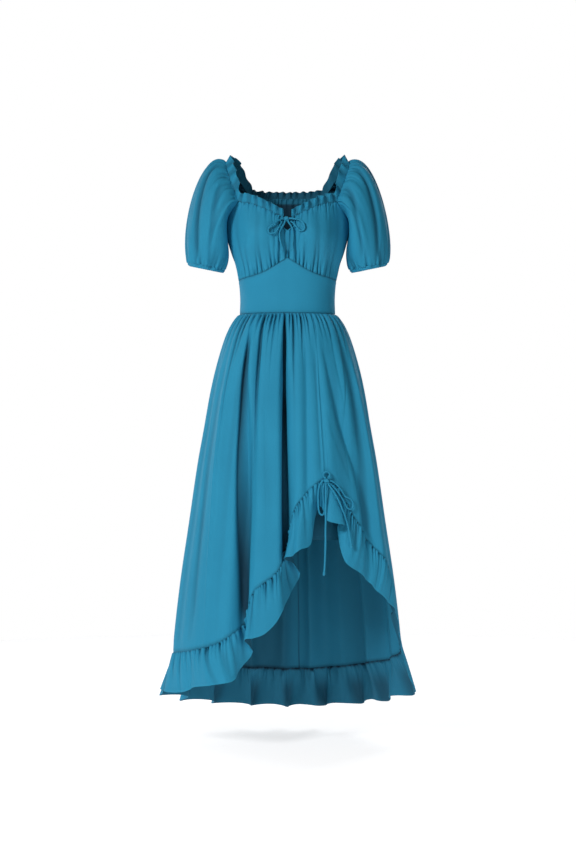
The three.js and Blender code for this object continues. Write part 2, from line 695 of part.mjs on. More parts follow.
function cuffAt(share) {
  const turn = 2 * Math.PI * share;
  const x = CUFF.x - CUFF.halfX * Math.cos(turn);
  return new THREE.Vector3(x, -CUFF.halfY * Math.sin(turn), CUFF.z - CUFF.tilt * Math.cos(turn));
}

function sleeveCurve(share, t) {
  const loop = ((share % 1) + 1) % 1;
  const control = (column) => through(SLEEVE, "share", column, loop);
  const start = armholeAt(loop);
  const end = cuffAt(loop);
  const go = new THREE.Vector3(control("goX"), control("goY"), control("goZ"));
  const come = new THREE.Vector3(control("comeX"), control("comeY"), control("comeZ"));
  const neckline = smooth(0.22, 0.32, loop) * smooth(0.78, 0.68, loop);
  const seam = armholeOut(loop).lerp(new THREE.Vector3(go.x, go.y, 0).normalize(), neckline);
  seam.normalize().multiplyScalar(mix(1.75, 0.85, neckline));
  const leave = start.clone().add(go);
  return new THREE.CubicBezierCurve3(start.add(seam), leave, end.clone().add(come), end).getPoint(t);
}

function buildSleeves() {
  for (const [side, mirrored] of [["left", false], ["right", true]]) {
    const columns = evenly(COLUMNS.sleeve, 0, 1);
    const plain = (share, t) => normalOf(sleeveCurve, share, Math.min(0.99, Math.max(0.01, t)), 0.01, 0.01);
    const pointAt = (share, t, i) => {
      const gather = i % COLUMNS.sleeve;
      const point = sleeveCurve(share, t);
      const middle = Math.sin(Math.PI * Math.min(1, t * 1.08)) ** 0.8;
      let lift = 0;
      for (const fold of SLEEVE_FOLDS[side]) {
        const away = (share - mix(fold.top, fold.foot, t)) / fold.wide;
        lift -= fold.deep * middle * Math.exp(-away * away);
      }
      const edges = smooth(0, 0.03, t) * Math.exp(-t / SLEEVE_GATHER.top)
        + smooth(1, 0.95, t) * Math.exp(-(1 - t) / SLEEVE_GATHER.foot);
      const open = smooth(0.02, 0.14, share) * smooth(0.98, 0.86, share);
      lift += (gather % 2 ? 1 : -1) * SLEEVE_GATHER.deep * (0.5 + uneven(gather + 31)) * edges * open;
      return point.addScaledVector(plain(share, t), lift);
    };
    add("sleeve_" + side, wall([columns], SLEEVE_ROWS, pointAt, plain, mirrored));
  }
}

const slitAngle = (row) => mix(SLIT_ANGLE_AT_WAIST, SLIT_ANGLE, smooth(0, 0.52, row));
const hemSeamZ = (angle) => through(HEM_SEAM, "angle", "z", angle > 180 ? angle - 360 : angle);

// The skirt with its large folds, but without the small gathers.
function skirtPoint(angle, z) {
  const down = Math.max(0, WAIST_Z - z);
  const section = (column) => through(SKIRT, "down", column, down);
  let radius = ovalRadius(angle, section("side"), section("front"), section("back"));
  const turn = angle > 180 ? angle - 360 : angle;
  for (const fold of SKIRT_FOLDS) {
    const at = mix(fold.top, fold.foot, smooth(0, 500, down));
    let away = turn - at;
    if (away > 180) away -= 360;
    if (away < -180) away += 360;
    const bent = Math.abs(away) / (away < 0 ? fold.left : fold.right);
    const narrow = mix(1.5, 1, smooth(0, 260, down));
    radius -= fold.deep * smooth(fold.from * 0.4, fold.full, down) * Math.exp(-((bent * narrow) ** 1.7));
  }
  return atRadius(angle, radius, z);
}

const skirtNormal = (angle, z) => normalOf((a, down) => skirtPoint(a, -down), angle, -z, 0.6, 2);

// The three skirt panels, from one side or slit seam to the next, by the share of the way down to the hem.
const PANELS = {
  skirt_front_right: { from: () => -90, to: slitAngle, columns: COLUMNS.frontRight, first: 0 },
  skirt_front_left: { from: slitAngle, to: () => 90, columns: COLUMNS.frontLeft, first: 54 },
  skirt_back: { from: () => 90, to: () => 270, columns: COLUMNS.back, first: 82 },
};

// A panel's columns at its hem lie between even angles and even steps along the seam, so that steep parts get
// enough.
for (const panel of Object.values(PANELS)) {
  const from = panel.from(1);
  const to = panel.to(1);
  const walk = [{ length: 0, angle: from }];
  let last = skirtPoint(from, hemSeamZ(from));
  for (const angle of evenly(90, from, to).slice(1)) {
    const next = skirtPoint(angle, hemSeamZ(angle));
    walk.push({ length: walk[walk.length - 1].length + next.distanceTo(last), angle });
    last = next;
  }
  const whole = walk[walk.length - 1].length;
  panel.hem = evenly(60, 0, 1).map((share) => {
    const stepped = through(walk, "length", "angle", share * whole);
    return { share, angle: mix(mix(from, to, share), stepped, EVEN_STEPS) };
  });
  panel.inset = SEAM_INSET / (panel.to(0) - panel.from(0));
}

function seamPoint(panel, share) {
  const angle = through(panel.hem, "share", "angle", share);
  return { angle, z: hemSeamZ(angle) };
}

function panelPlace(panel, share, row) {
  const seam = seamPoint(panel, share);
  const even = mix(panel.from(row), panel.to(row), share);
  return { angle: mix(even, seam.angle, row ** 1.5), z: mix(WAIST_Z - SEAM_GAP / 2, seam.z, row) };
}

function buildSkirtPanel(name) {
  const panel = PANELS[name];
  const columns = evenly(panel.columns, panel.inset, 1 - panel.inset);
  const pointAt = (share, row, i) => {
    const { angle, z } = panelPlace(panel, share, row);
    const down = WAIST_Z - z;
    const gather = i + panel.first;
    const long = mix(WAIST_GATHER.shortest, WAIST_GATHER.longest, uneven(Math.round(gather / 4)));
    const inside = smooth(0, 0.03, share) * smooth(1, 0.97, share);
    const fade = smooth(0, 14, down) * Math.exp(-down / long) * inside;
    const lift = ripple(gather) * WAIST_GATHER.deep * fade;
    return skirtPoint(angle, z).addScaledVector(skirtNormal(angle, z), lift);
  };
  const facing = (share, row) => {
    const { angle, z } = panelPlace(panel, share, row);
    return skirtNormal(angle, z);
  };
  return wall([columns], SKIRT_ROWS, pointAt, facing);
}

// How far the flounce's free edge lies across, below and outside its seam, at an angle.
function fluteAt(angle) {
  const turn = angle > 180 ? angle - 360 : angle;
  const aside = Math.abs(turn);
  const free = (column) => through(FRONT_FLUTES, "angle", column, turn);
  const front = { across: free("across"), drop: free("drop"), out: free("out") };
  const phase = ((angle - 98) / 164) * BACK_FLUTES * 2 * Math.PI;
  const varied = 1 + 0.25 * Math.sin(phase * 0.37 + 1.2);
  const back = {
    across: Math.sin(phase) * BACK_FLUTE.sway,
    drop: BACK_FLUTE.drop + Math.cos(phase) * BACK_FLUTE.lift,
    out: BACK_FLUTE.flare + Math.cos(phase) * BACK_FLUTE.wave * varied,
  };
  const share = smooth(92, 104, aside);
  const blend = (column) => mix(front[column], back[column], share);
  return { across: blend("across"), drop: blend("drop"), out: blend("out") };
}

function flouncePoint(panel, share, w, lift = 0) {
  const seam = seamPoint(panel, share);
  const base = skirtPoint(seam.angle, seam.z);
  const facing = skirtNormal(seam.angle, seam.z);
  const before = seamPoint(panel, share - 0.004);
  const after = seamPoint(panel, share + 0.004);
  const along = skirtPoint(after.angle, after.z).sub(skirtPoint(before.angle, before.z)).normalize();
  const away = facing.clone().cross(along).negate().normalize();
  if (away.z > 0) away.negate();
  const flute = fluteAt(seam.angle);
  const outward = atRadius(seam.angle, 1, 0);
  const hang = Math.max(0, w - 0.03);
  const first = Math.min(w, 0.06) / 0.06;
  base.addScaledVector(away, SEAM_GAP + 3 * first);
  base.x += flute.across * hang ** 1.3;
  base.z -= flute.drop * hang * 0.97;
  base.addScaledVector(outward, flute.out * hang ** 0.85);
  return base.addScaledVector(facing, lift);
}

function buildFlounce(name) {
  const panel = PANELS[name];
  const columns = evenly(panel.columns, panel.inset, 1 - panel.inset);
  const pointAt = (share, w, i) => {
    const fade = smooth(0.01, 0.06, w) * Math.exp(-w / FLOUNCE_GATHER.reach);
    const lift = (i % 2 ? 1 : -1) * FLOUNCE_GATHER.deep * (0.6 + 0.8 * uneven(i + panel.first)) * fade;
    return flouncePoint(panel, share, w, lift * smooth(0, 0.04, share) * smooth(1, 0.96, share));
  };
  const surface = (share, w) => flouncePoint(panel, share, Math.max(0, w));
  const facing = (share, w) => {
    if (w === 0) {
      const seam = seamPoint(panel, share);
      return skirtNormal(seam.angle, seam.z);
    }
    return normalOf(surface, share, w, 0.006, 0.02);
  };
  return wall([columns], FLOUNCE_ROWS, pointAt, facing);
}

function buildSkirt() {
  for (const name of Object.keys(PANELS)) {
    add(name, buildSkirtPanel(name));
    add(name.replace("skirt", "flounce"), buildFlounce(name));
  }
}

// The short lining inside the skirt, a plain tube whose hem shows through the slit.
const LINING = [
  { down: 0, side: 111, front: 86.5, back: 85.5 },
  { down: 60, side: 124, front: 92, back: 96 },
  { down: 200, side: 146, front: 97, back: 110 },
  { down: 523, side: 168, front: 120, back: 130 },
];
const LINING_WAVES = { count: 9, deep: 4 };

function buildLining() {
  const liningPoint = (angle, down) => {
    const section = (column) => through(LINING, "down", column, down);
    const wave = Math.cos(angle * DEGREE * LINING_WAVES.count) * LINING_WAVES.deep * smooth(60, 500, down);
    const radius = ovalRadius(angle, section("side"), section("front"), section("back"));
    return atRadius(angle, radius + wave, WAIST_Z - down);
  };
  const columns = evenly(COLUMNS.lining, 0, 360);
  const length = WAIST_Z - LINING_HEM_Z;
  const rows = [0.6, 60, 200, length];
  const facing = (angle, down) => normalOf(liningPoint, angle, down, 1, 2);
  add("skirt_lining", wall([columns], rows, liningPoint, facing), liningCloth);
}

// A round cord along a smooth curve.
function tie(places) {
  const turns = evenly(TIE.sides, 0, 2 * Math.PI).slice(1);
  const corner = (turn) => new THREE.Vector2(TIE.radius * Math.cos(turn), TIE.radius * Math.sin(turn));
  const section = new THREE.Shape(turns.map(corner));
  const points = places.map((place) => new THREE.Vector3(...place));
  const path = new THREE.CatmullRomCurve3(points, false, "centripetal");
  const steps = Math.max(7, Math.round(path.getLength() / TIE.step));
  return new THREE.ExtrudeGeometry(section, { extrudePath: path, steps, bevelEnabled: false });
}

function buildTies() {
  for (const [name, { at, half }] of Object.entries(KNOTS)) {
    const knot = new THREE.SphereGeometry(1, 10, 6).rotateX(Math.PI / 2);
    add(name, knot.scale(...half).translate(...at), tieCloth);
  }
  for (const [name, places] of Object.entries(TIES)) {
    add(name, tie(places), tieCloth);
  }
}

buildBodice();
buildNeckRuffles();
buildSleeves();
buildSkirt();
buildLining();
buildTies();

export default dress;
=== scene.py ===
"""Renaissance dress: the looks in Blender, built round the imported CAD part, in metres.

The front faces -Y and the wearer's left is +X. The origin is midway between the wearer's shoulders. Shapes
are worked out in millimetres from the same section tables as the solids, on finer grids, with the gathers,
creases, casings and seams of the real cloth, and they become metres where a mesh is made.
"""

import logging
import math
from dataclasses import dataclass, field
from enum import Enum

import bpy
import numpy as np
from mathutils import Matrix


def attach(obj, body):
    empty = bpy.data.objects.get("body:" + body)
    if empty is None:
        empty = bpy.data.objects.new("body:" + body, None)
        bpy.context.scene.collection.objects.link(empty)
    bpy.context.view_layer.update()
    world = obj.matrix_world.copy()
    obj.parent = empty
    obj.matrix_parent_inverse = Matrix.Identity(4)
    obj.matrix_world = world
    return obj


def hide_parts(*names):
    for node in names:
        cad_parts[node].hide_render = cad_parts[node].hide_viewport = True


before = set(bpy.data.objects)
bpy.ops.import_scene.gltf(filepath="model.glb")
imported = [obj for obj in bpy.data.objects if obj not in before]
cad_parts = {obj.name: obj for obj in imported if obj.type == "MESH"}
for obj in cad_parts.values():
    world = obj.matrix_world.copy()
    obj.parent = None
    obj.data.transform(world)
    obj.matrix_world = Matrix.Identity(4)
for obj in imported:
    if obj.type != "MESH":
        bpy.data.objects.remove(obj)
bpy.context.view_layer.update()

LOG = logging.getLogger("renaissance_dress")
MM = 0.001
BODY = "root"

# Thicknesses, heights and lengths are in millimetres, and angles in degrees from the front centre.
CLOTH = 1.0
RUFFLE_CLOTH = 0.9
LINING_CLOTH = 0.8
WAIST_Z = -336.0
UNDERARM_Z = -150.0
NECK_CORNER = 60.0
BACK_CORNER = 131.0
LINING_HEM_Z = -859.0
SEAM_GAP = 0.3
ROUNDNESS = 2.3
SLIT_ANGLE_AT_WAIST = 33.0
SLIT_ANGLE = 28.5
SIDE_SEAM = 90.0
SHARP_CORNER = 62.0
THREAD_LIFT = 0.55
# Points that round to the same step of a millimetre are sewn together.
SEWN_STEPS = 500
# The colour sockets of a mix node.
MIX_FIRST, MIX_SECOND, MIX_MADE = 6, 7, 2

Triple = tuple[float, float, float]


class Side(Enum):
    """The wearer's own sides."""

    LEFT = "left"
    RIGHT = "right"

    @property
    def way(self) -> np.ndarray:
        """What turns a point of the wearer's left side into one of this side."""
        return np.array([-1 if self is Side.RIGHT else 1, 1, 1])


class Held(Enum):
    """How a sheet of cloth is carried."""

    HUNG = "hung"
    GATHERED = "gathered"
    STRETCHED = "stretched"


@dataclass(frozen=True)
class Table:
    """Rows of named numbers, with a smooth curve through them. The first column rises from row to row."""

    columns: str
    rows: tuple[tuple[float, ...], ...]

    def at(self, column: str, where: np.ndarray) -> np.ndarray:
        """The value of a column, smoothly between the rows.

        Args:
            column: the name of the column.
            where: places along the first column.

        Returns:
            One value for each place.
        """
        keys = np.array([row[0] for row in self.rows], float)
        values = self.column(column)
        slopes = np.diff(values) / np.diff(keys)
        bends = np.concatenate(([slopes[0]], (slopes[1:] + slopes[:-1]) / 2, [slopes[-1]]))
        where = np.clip(np.asarray(where, float), keys[0], keys[-1])
        i = np.clip(np.searchsorted(keys, where, side="right") - 1, 0, len(slopes) - 1)
        span = keys[i + 1] - keys[i]
        t = (where - keys[i]) / span
        rise = values[i + 1] - values[i]
        return (
            values[i]
            + bends[i] * span * (t - 2 * t**2 + t**3)
            + rise * (3 * t**2 - 2 * t**3)
            + bends[i + 1] * span * (t**3 - t**2)
        )

    def column(self, name: str) -> np.ndarray:
        """All the numbers of one column."""
        return np.array([row[self.columns.split().index(name)] for row in self.rows], float)


def mix(a: np.ndarray, b: np.ndarray, share: np.ndarray) -> np.ndarray:
    """From a to b by a share."""
    return a + (b - a) * share


def smooth(low: float, high: float, at: np.ndarray) -> np.ndarray:
    """A soft step from 0 at low to 1 at high."""
    share = np.clip((np.asarray(at, float) - low) / (high - low), 0, 1)
    return share * share * (3 - 2 * share)


def unit(vectors: np.ndarray) -> np.ndarray:
    """Vectors of length 1."""
    return vectors / np.maximum(np.linalg.norm(vectors, axis=-1, keepdims=True), 1e-9)


def oval_radius(angle: np.ndarray, side: np.ndarray, front: np.ndarray, back: np.ndarray) -> np.ndarray:
    """The distance from the axis to a squarish oval.

    Args:
        angle: degrees from the front centre, towards the wearer's left.
        side: half width.
        front: depth before the axis.
        back: depth behind it.

    Returns:
        The radius at each angle.
    """
    c, s = np.cos(np.radians(angle)), np.sin(np.radians(angle))
    depth = np.where(c > 0, front, back)
    return (np.abs(s / side) ** ROUNDNESS + np.abs(c / depth) ** ROUNDNESS) ** (-1 / ROUNDNESS)


def at_radius(angle: np.ndarray, radius: np.ndarray, z: np.ndarray) -> np.ndarray:
    """Points at an angle from the front centre, a distance from the axis and a height.

    Args:
        angle: degrees from the front centre, towards the wearer's left.
        radius: distances from the axis.
        z: heights, in millimetres.

    Returns:
        The points, in millimetres.
    """
    turn = np.radians(angle)
    x, y, z = np.broadcast_arrays(radius * np.sin(turn), -radius * np.cos(turn), z)
    return np.stack([x, y, z], -1).astype(float)


def normals_of(points: np.ndarray, closed: bool = False) -> np.ndarray:
    """The outward normals of a grid of points.

    Args:
        points: a grid, columns across and rows downwards.
        closed: whether the last column lies on the first.

    Returns:
        One unit normal for each point.
    """
    if closed:
        ring = np.concatenate([points[-2:-1], points, points[1:2]])
        across = (ring[2:] - ring[:-2]) / 2
    else:
        across = np.gradient(points, axis=0)
    return unit(np.cross(np.gradient(points, axis=1), across))


def walked(points: np.ndarray, axis: int) -> np.ndarray:
    """How far along a grid each point is, along one axis.

    Args:
        points: a grid, columns across and rows downwards.
        axis: the axis to walk along.

    Returns:
        Millimetres from the start.
    """
    steps = np.linalg.norm(np.diff(points, axis=axis), axis=-1)
    pad = [(1, 0) if k == axis else (0, 0) for k in range(steps.ndim)]
    return np.pad(np.cumsum(steps, axis=axis), pad)


@dataclass(frozen=True)
class Undulation:
    """A slow, small unevenness of hanging cloth, the same on each run."""

    seed: int
    high: float
    wave: float

    def at(self, across: np.ndarray, down: np.ndarray) -> np.ndarray:
        """The lift of the cloth.

        Args:
            across: millimetres across.
            down: millimetres down.

        Returns:
            The lift in millimetres.
        """
        draw = np.random.default_rng(self.seed)
        lift = np.zeros(np.broadcast(across, down).shape)
        for _ in range(9):
            turn, phase, scale = draw.uniform(-0.5, 0.5), draw.uniform(0, 6.3), draw.uniform(0.7, 1.6)
            slanted = across * math.cos(turn) + down * math.sin(turn) * 0.4
            lift = lift + np.sin(slanted * 6.283 / (self.wave * scale) + phase)
        return lift * self.high / 3


@dataclass(frozen=True)
class Gathers:
    """Small folds that start at a seam: narrow troughs, each of its own depth, with rounded cloth between."""

    seed: int
    pitch: float
    deep: float
    reach: float
    width: float = 1.7
    spread: float = 0.05
    start: float = 2.0

    def lift(self, along: np.ndarray, away: np.ndarray, density: np.ndarray | None = None) -> np.ndarray:
        """How far the cloth lies above or below its smooth form.

        Args:
            along: millimetres along the seam.
            away: millimetres from the seam.
            density: a strength from 0 to 1 for each point, or None for 1.

        Returns:
            The lift in millimetres, below 0 in a trough.
        """
        draw = np.random.default_rng(self.seed)
        away = np.maximum(away, 0)
        low, high = float(along.min()), float(along.max())
        count = max(2, int((high - low) / self.pitch))
        places = low + (np.arange(count) + draw.uniform(0.15, 0.85, count)) * (high - low) / count
        deeps = self.deep * draw.uniform(0.45, 1.5, count)
        reaches = self.reach * draw.uniform(0.3, 1.5, count)
        leans = draw.normal(0, 0.05, count)
        total = np.zeros(np.broadcast(along, away).shape)
        fade_in = smooth(0, self.start, away)
        for place, deep, reach, lean in zip(places, deeps, reaches, leans):
            wide = self.width + self.spread * away
            aside = (along - place - lean * away) / wide
            trough = np.exp(-((aside * np.where(aside < 0, 1.5, 0.75)) ** 2))
            total -= deep * trough * np.exp(-((away / reach) ** 1.4))
        puff = 0.35 * self.deep * np.exp(-away / self.reach)
        total = (total + puff) * fade_in
        return total if density is None else total * density


@dataclass
class Sheet:
    """A grid of cloth in millimetres, with its place on the flat cut and the shade painted on its outer and
    inner faces.
    """

    points: np.ndarray
    flat: np.ndarray | None = None
    closed: bool = False
    # Painted shade on the outer face, from 0 to 1: darker in folds and at seams.
    fold: np.ndarray | float = 0.0
    # Painted shade on the inner face, from 0 to 1, where the inside lies in shade.
    inside: np.ndarray | float = 0.35

    def cut(self) -> np.ndarray:
        """The place of each point on the flat cloth, in metres."""
        if self.flat is not None:
            return self.flat * MM
        across = np.broadcast_to(walked(self.points, 0).mean(1, keepdims=True), self.points.shape[:2])
        return np.stack([across, walked(self.points, 1)], -1) * MM


def wall_mesh(
    name: str, sheets: list[Sheet], thickness: float = CLOTH, mirrored: bool = False
) -> bpy.types.Object:
    """A closed wall of cloth over one or more grids, sewn together where their points coincide.

    Args:
        name: the object's name.
        sheets: the grids.
        thickness: of the cloth, in millimetres.
        mirrored: whether the cloth is for the wearer's other side.

    Returns:
        The new object.
    """
    points = np.concatenate([s.points.reshape(-1, 3) for s in sheets])
    facing = np.concatenate([normals_of(s.points, s.closed).reshape(-1, 3) for s in sheets])
    cut = np.concatenate([s.cut().reshape(-1, 2) for s in sheets])
    # The painted shade of the outer and inner faces, for each point.
    outer = np.concatenate([np.broadcast_to(s.fold, s.points.shape[:2]).reshape(-1) for s in sheets])
    inner = np.concatenate([np.broadcast_to(s.inside, s.points.shape[:2]).reshape(-1) for s in sheets])
    quads, start = [], 0
    for sheet in sheets:
        columns, rows = sheet.points.shape[:2]
        index = start + np.arange(columns * rows).reshape(columns, rows)
        corners = [index[:-1, :-1], index[:-1, 1:], index[1:, 1:], index[1:, :-1]]
        quads.append(np.stack(corners, -1).reshape(-1, 4))
        start += columns * rows
    quads = np.concatenate(quads)
    steps = np.round(points * SEWN_STEPS).astype(np.int64)
    _, first, sewn = np.unique(steps, axis=0, return_index=True, return_inverse=True)
    sewn = sewn.reshape(-1)
    count = len(first)
    way = np.zeros((count, 3))
    np.add.at(way, sewn, facing)
    way = unit(way)
    half = way * thickness / 2
    corners = sewn[quads]
    edges = np.concatenate([corners[:, [k, (k + 1) % 4]] for k in range(4)])
    uv_edges = np.concatenate([quads[:, [k, (k + 1) % 4]] for k in range(4)])
    codes = edges[:, 0] * count + edges[:, 1]
    open_edge = ~np.isin(codes, edges[:, 1] * count + edges[:, 0])
    rim, rim_uv = edges[open_edge], uv_edges[open_edge]
    faces = np.concatenate([
        corners,
        corners[:, ::-1] + count,
        np.stack([rim[:, 1], rim[:, 0], rim[:, 0] + count, rim[:, 1] + count], -1),
    ])
    face_uv = np.concatenate([quads, quads[:, ::-1], rim_uv[:, [1, 0, 0, 1]]])
    place = np.concatenate([points[first] + half, points[first] - half]) * MM
    if mirrored:
        place[:, 0] *= -1
        faces, face_uv = faces[:, ::-1], face_uv[:, ::-1]
    piece = mesh_object(name, place, faces, cut[face_uv.reshape(-1)])
    # The painted shade goes to the material as the point attribute Shade.
    layer = piece.data.attributes.new("Shade", "FLOAT", "POINT")
    layer.data.foreach_set("value", np.concatenate([outer[first], inner[first]]).astype(np.float32))
    return piece


def mesh_object(name: str, place: np.ndarray, faces: np.ndarray, uv: np.ndarray) -> bpy.types.Object:
    """An object from points in metres, faces of one size and a place on the cloth for each corner.

    Args:
        name: the object's name.
        place: the points.
        faces: the corners of each face.
        uv: the place on the cloth of each corner, in the faces' order.

    Returns:
        The new object, linked to the scene.
    """
    mesh = bpy.data.meshes.new(name)
    size = faces.shape[1]
    mesh.vertices.add(len(place))
    mesh.vertices.foreach_set("co", place.astype(np.float32).reshape(-1))
    mesh.loops.add(faces.size)
    mesh.loops.foreach_set("vertex_index", faces.astype(np.int32).reshape(-1))
    mesh.polygons.add(len(faces))
    mesh.polygons.foreach_set("loop_start", np.arange(len(faces), dtype=np.int32) * size)
    mesh.update(calc_edges=True)
    layer = mesh.uv_layers.new(name="Cut")
    layer.data.foreach_set("uv", uv.astype(np.float32).reshape(-1))
    mesh.polygons.foreach_set("use_smooth", np.ones(len(faces), bool))
    mesh.set_sharp_from_angle(angle=math.radians(SHARP_CORNER))
    mesh.validate()
    piece = bpy.data.objects.new(name, mesh)
    bpy.context.scene.collection.objects.link(piece)
    return piece


# Finishes


Wire = tuple[bpy.types.Node, str, bpy.types.Node, str]


def fill(node: bpy.types.Node, values: dict[str, object]) -> None:
    """Sets some of a node's inputs, by their names."""
    for name, value in values.items():
        node.inputs[name].default_value = value


def join(links: bpy.types.NodeLinks, wires: tuple[Wire, ...]) -> None:
    """Links the outputs of some nodes to the inputs of others."""
    for source, given, target, taken in wires:
        links.new(source.outputs[given], target.inputs[taken])


@dataclass(frozen=True)
class ClothFinish:
    """A soft crepe: its colours, the dark colour of its painted shade, sheen and weave."""

    name: str
    colour: Triple
    shade: Triple
    # The dark colour that the painted shade of folds, seams and the inner face mixes towards.
    deep: Triple = (0.004, 0.032, 0.06)
    roughness: float = 0.72
    sheen: float = 0.05
    sheen_colour: Triple = (0.1, 0.45, 0.65)
    thread: float = 0.00042
    relief: float = 0.00013

    def material(self) -> bpy.types.Material:
        """The node material: woven threads and a pebbled grain on the flat cut, a slightly uneven dye, and
        shade painted into the colour from the Shade attribute.

        Returns:
            The material.
        """
        made = bpy.data.materials.new(self.name)
        made.use_nodes = True
        nodes, links = made.node_tree.nodes, made.node_tree.links
        shader = nodes["Principled BSDF"]
        fill(shader, {
            "Metallic": 0.0,
            "Sheen Weight": self.sheen,
            "Sheen Roughness": 0.45,
            "Sheen Tint": (*self.sheen_colour, 1),
            "Specular IOR Level": 0.2,
        })
        place = nodes.new("ShaderNodeTexCoord")

        def noise(socket: str, scale: float, detail: float) -> bpy.types.NodeSocket:
            """A noise on the piece or on its flat cut.

            Args:
                socket: the coordinates that it lies on.
                scale: how fine it is.
                detail: how many finer layers it has.

            Returns:
                The strength of the noise.
            """
            made_noise = nodes.new("ShaderNodeTexNoise")
            fill(made_noise, {"Scale": scale, "Detail": detail})
            links.new(place.outputs[socket], made_noise.inputs["Vector"])
            return made_noise.outputs["Fac"]

        def threads(direction: str) -> bpy.types.NodeSocket:
            """One set of threads across the flat cut.

            Args:
                direction: the axis that the threads cross.

            Returns:
                The height of the threads.
            """
            wave = nodes.new("ShaderNodeTexWave")
            wave.bands_direction = direction
            fill(wave, {"Scale": 0.314 / self.thread, "Distortion": 1.2, "Detail Scale": 3.0})
            links.new(place.outputs["UV"], wave.inputs["Vector"])
            return wave.outputs["Fac"]

        def plus(a: bpy.types.NodeSocket, b: bpy.types.NodeSocket, share: float) -> bpy.types.NodeSocket:
            """One texture with a share of another.

            Args:
                a: the first texture.
                b: the second one.
                share: the share of the second texture.

            Returns:
                Their sum.
            """
            node = nodes.new("ShaderNodeMath")
            node.operation = "MULTIPLY_ADD"
            links.new(b, node.inputs[0])
            node.inputs[1].default_value = share
            links.new(a, node.inputs[2])
            return node.outputs[0]

        weave = plus(threads("X"), threads("Y"), 0.8)
        pebble = noise("UV", 520.0, 3.0)
        grain = plus(weave, pebble, 1.6)
        dye = noise("Object", 7.0, 2.0)
        tone = plus(dye, noise("UV", 260.0, 2.0), 0.35)
        ramp = nodes.new("ShaderNodeValToRGB")
        for stop, position, colour in zip(ramp.color_ramp.elements, (0.35, 0.95), (self.shade, self.colour)):
            stop.position, stop.color = position, (*colour, 1)
        links.new(tone, ramp.inputs["Fac"])
        # Painted shade: the Shade attribute of each point mixes the colour towards the deep colour, darker in
        # folds, at seams and on the inner face.
        depth = nodes.new("ShaderNodeAttribute")
        depth.attribute_name = "Shade"
        deep = nodes.new("ShaderNodeMix")
        deep.data_type = "RGBA"
        links.new(depth.outputs["Fac"], deep.inputs["Factor"])
        links.new(ramp.outputs["Color"], deep.inputs[MIX_FIRST])
        deep.inputs[MIX_SECOND].default_value = (*self.deep, 1)
        links.new(deep.outputs[MIX_MADE], shader.inputs["Base Color"])
        rough = nodes.new("ShaderNodeMapRange")
        fill(rough, {"To Min": self.roughness - 0.06, "To Max": self.roughness + 0.06})
        links.new(pebble, rough.inputs["Value"])
        links.new(rough.outputs["Result"], shader.inputs["Roughness"])
        bump = nodes.new("ShaderNodeBump")
        fill(bump, {"Strength": 0.5, "Distance": self.relief})
        links.new(grain, bump.inputs["Height"])
        links.new(bump.outputs["Normal"], shader.inputs["Normal"])
        return made


@dataclass(frozen=True)
class Finishes:
    """All the finishes of the dress."""

    crepe: ClothFinish = ClothFinish("teal_crepe", (0.022, 0.285, 0.47), (0.018, 0.245, 0.41))
    inner: ClothFinish = ClothFinish(
        "teal_lining", (0.011, 0.125, 0.215), (0.009, 0.105, 0.185), roughness=0.6
    )
    cord: ClothFinish = ClothFinish(
        "teal_cord", (0.022, 0.285, 0.47), (0.016, 0.22, 0.37), roughness=0.6, relief=0.0001
    )
    thread: ClothFinish = ClothFinish("teal_thread", (0.013, 0.19, 0.32), (0.009, 0.14, 0.25), roughness=0.5)


# Cords


def smooth_route(places: tuple[Triple, ...], per_span: int = 14) -> np.ndarray:
    """A smooth centripetal curve through some places.

    Args:
        places: the places, in millimetres.
        per_span: the steps from one place to the next.

    Returns:
        The points of the curve.
    """
    given = np.array(places, float)
    ends = np.concatenate([[2 * given[0] - given[1]], given, [2 * given[-1] - given[-2]]])
    made = []
    for p0, p1, p2, p3 in zip(ends, ends[1:], ends[2:], ends[3:]):
        a, b, c = (np.linalg.norm(q - p) ** 0.5 for p, q in ((p0, p1), (p1, p2), (p2, p3)))
        enter = ((p1 - p0) / a - (p2 - p0) / (a + b) + (p2 - p1) / b) * b
        leave = ((p2 - p1) / b - (p3 - p1) / (b + c) + (p3 - p2) / c) * b
        t = np.linspace(0, 1, per_span + 1)[:-1, None]
        made.append(
            p1 * (1 - 3 * t**2 + 2 * t**3)
            + enter * (t - 2 * t**2 + t**3)
            + p2 * (3 * t**2 - 2 * t**3)
            + leave * (t**3 - t**2)
        )
    return np.concatenate([*made, given[-1:]])


def even_route(route: np.ndarray, step: float) -> np.ndarray:
    """The same route with points a step apart.

    Args:
        route: its points, in millimetres.
        step: the distance between points, in millimetres.

    Returns:
        The new points.
    """
    far = walked(route, 0)
    stops = np.linspace(0, far[-1], max(4, int(round(far[-1] / step))) + 1)
    return np.stack([np.interp(stops, far, route[:, k]) for k in range(3)], -1)


def frames_along(route: np.ndarray) -> tuple[np.ndarray, np.ndarray]:
    """Two crosswise directions at each point of a route, which turn as little as they can.

    Args:
        route: its points, in millimetres.

    Returns:
        The two directions at each point.
    """
    ahead = unit(np.gradient(route, axis=0))
    first = np.cross(ahead[0], (0.3, 0.2, 1.0))
    across = [first / np.linalg.norm(first)]
    for way in ahead[1:]:
        kept = across[-1] - way * float(across[-1] @ way)
        across.append(kept / np.linalg.norm(kept))
    across = np.array(across)
    return across, np.cross(ahead, across)


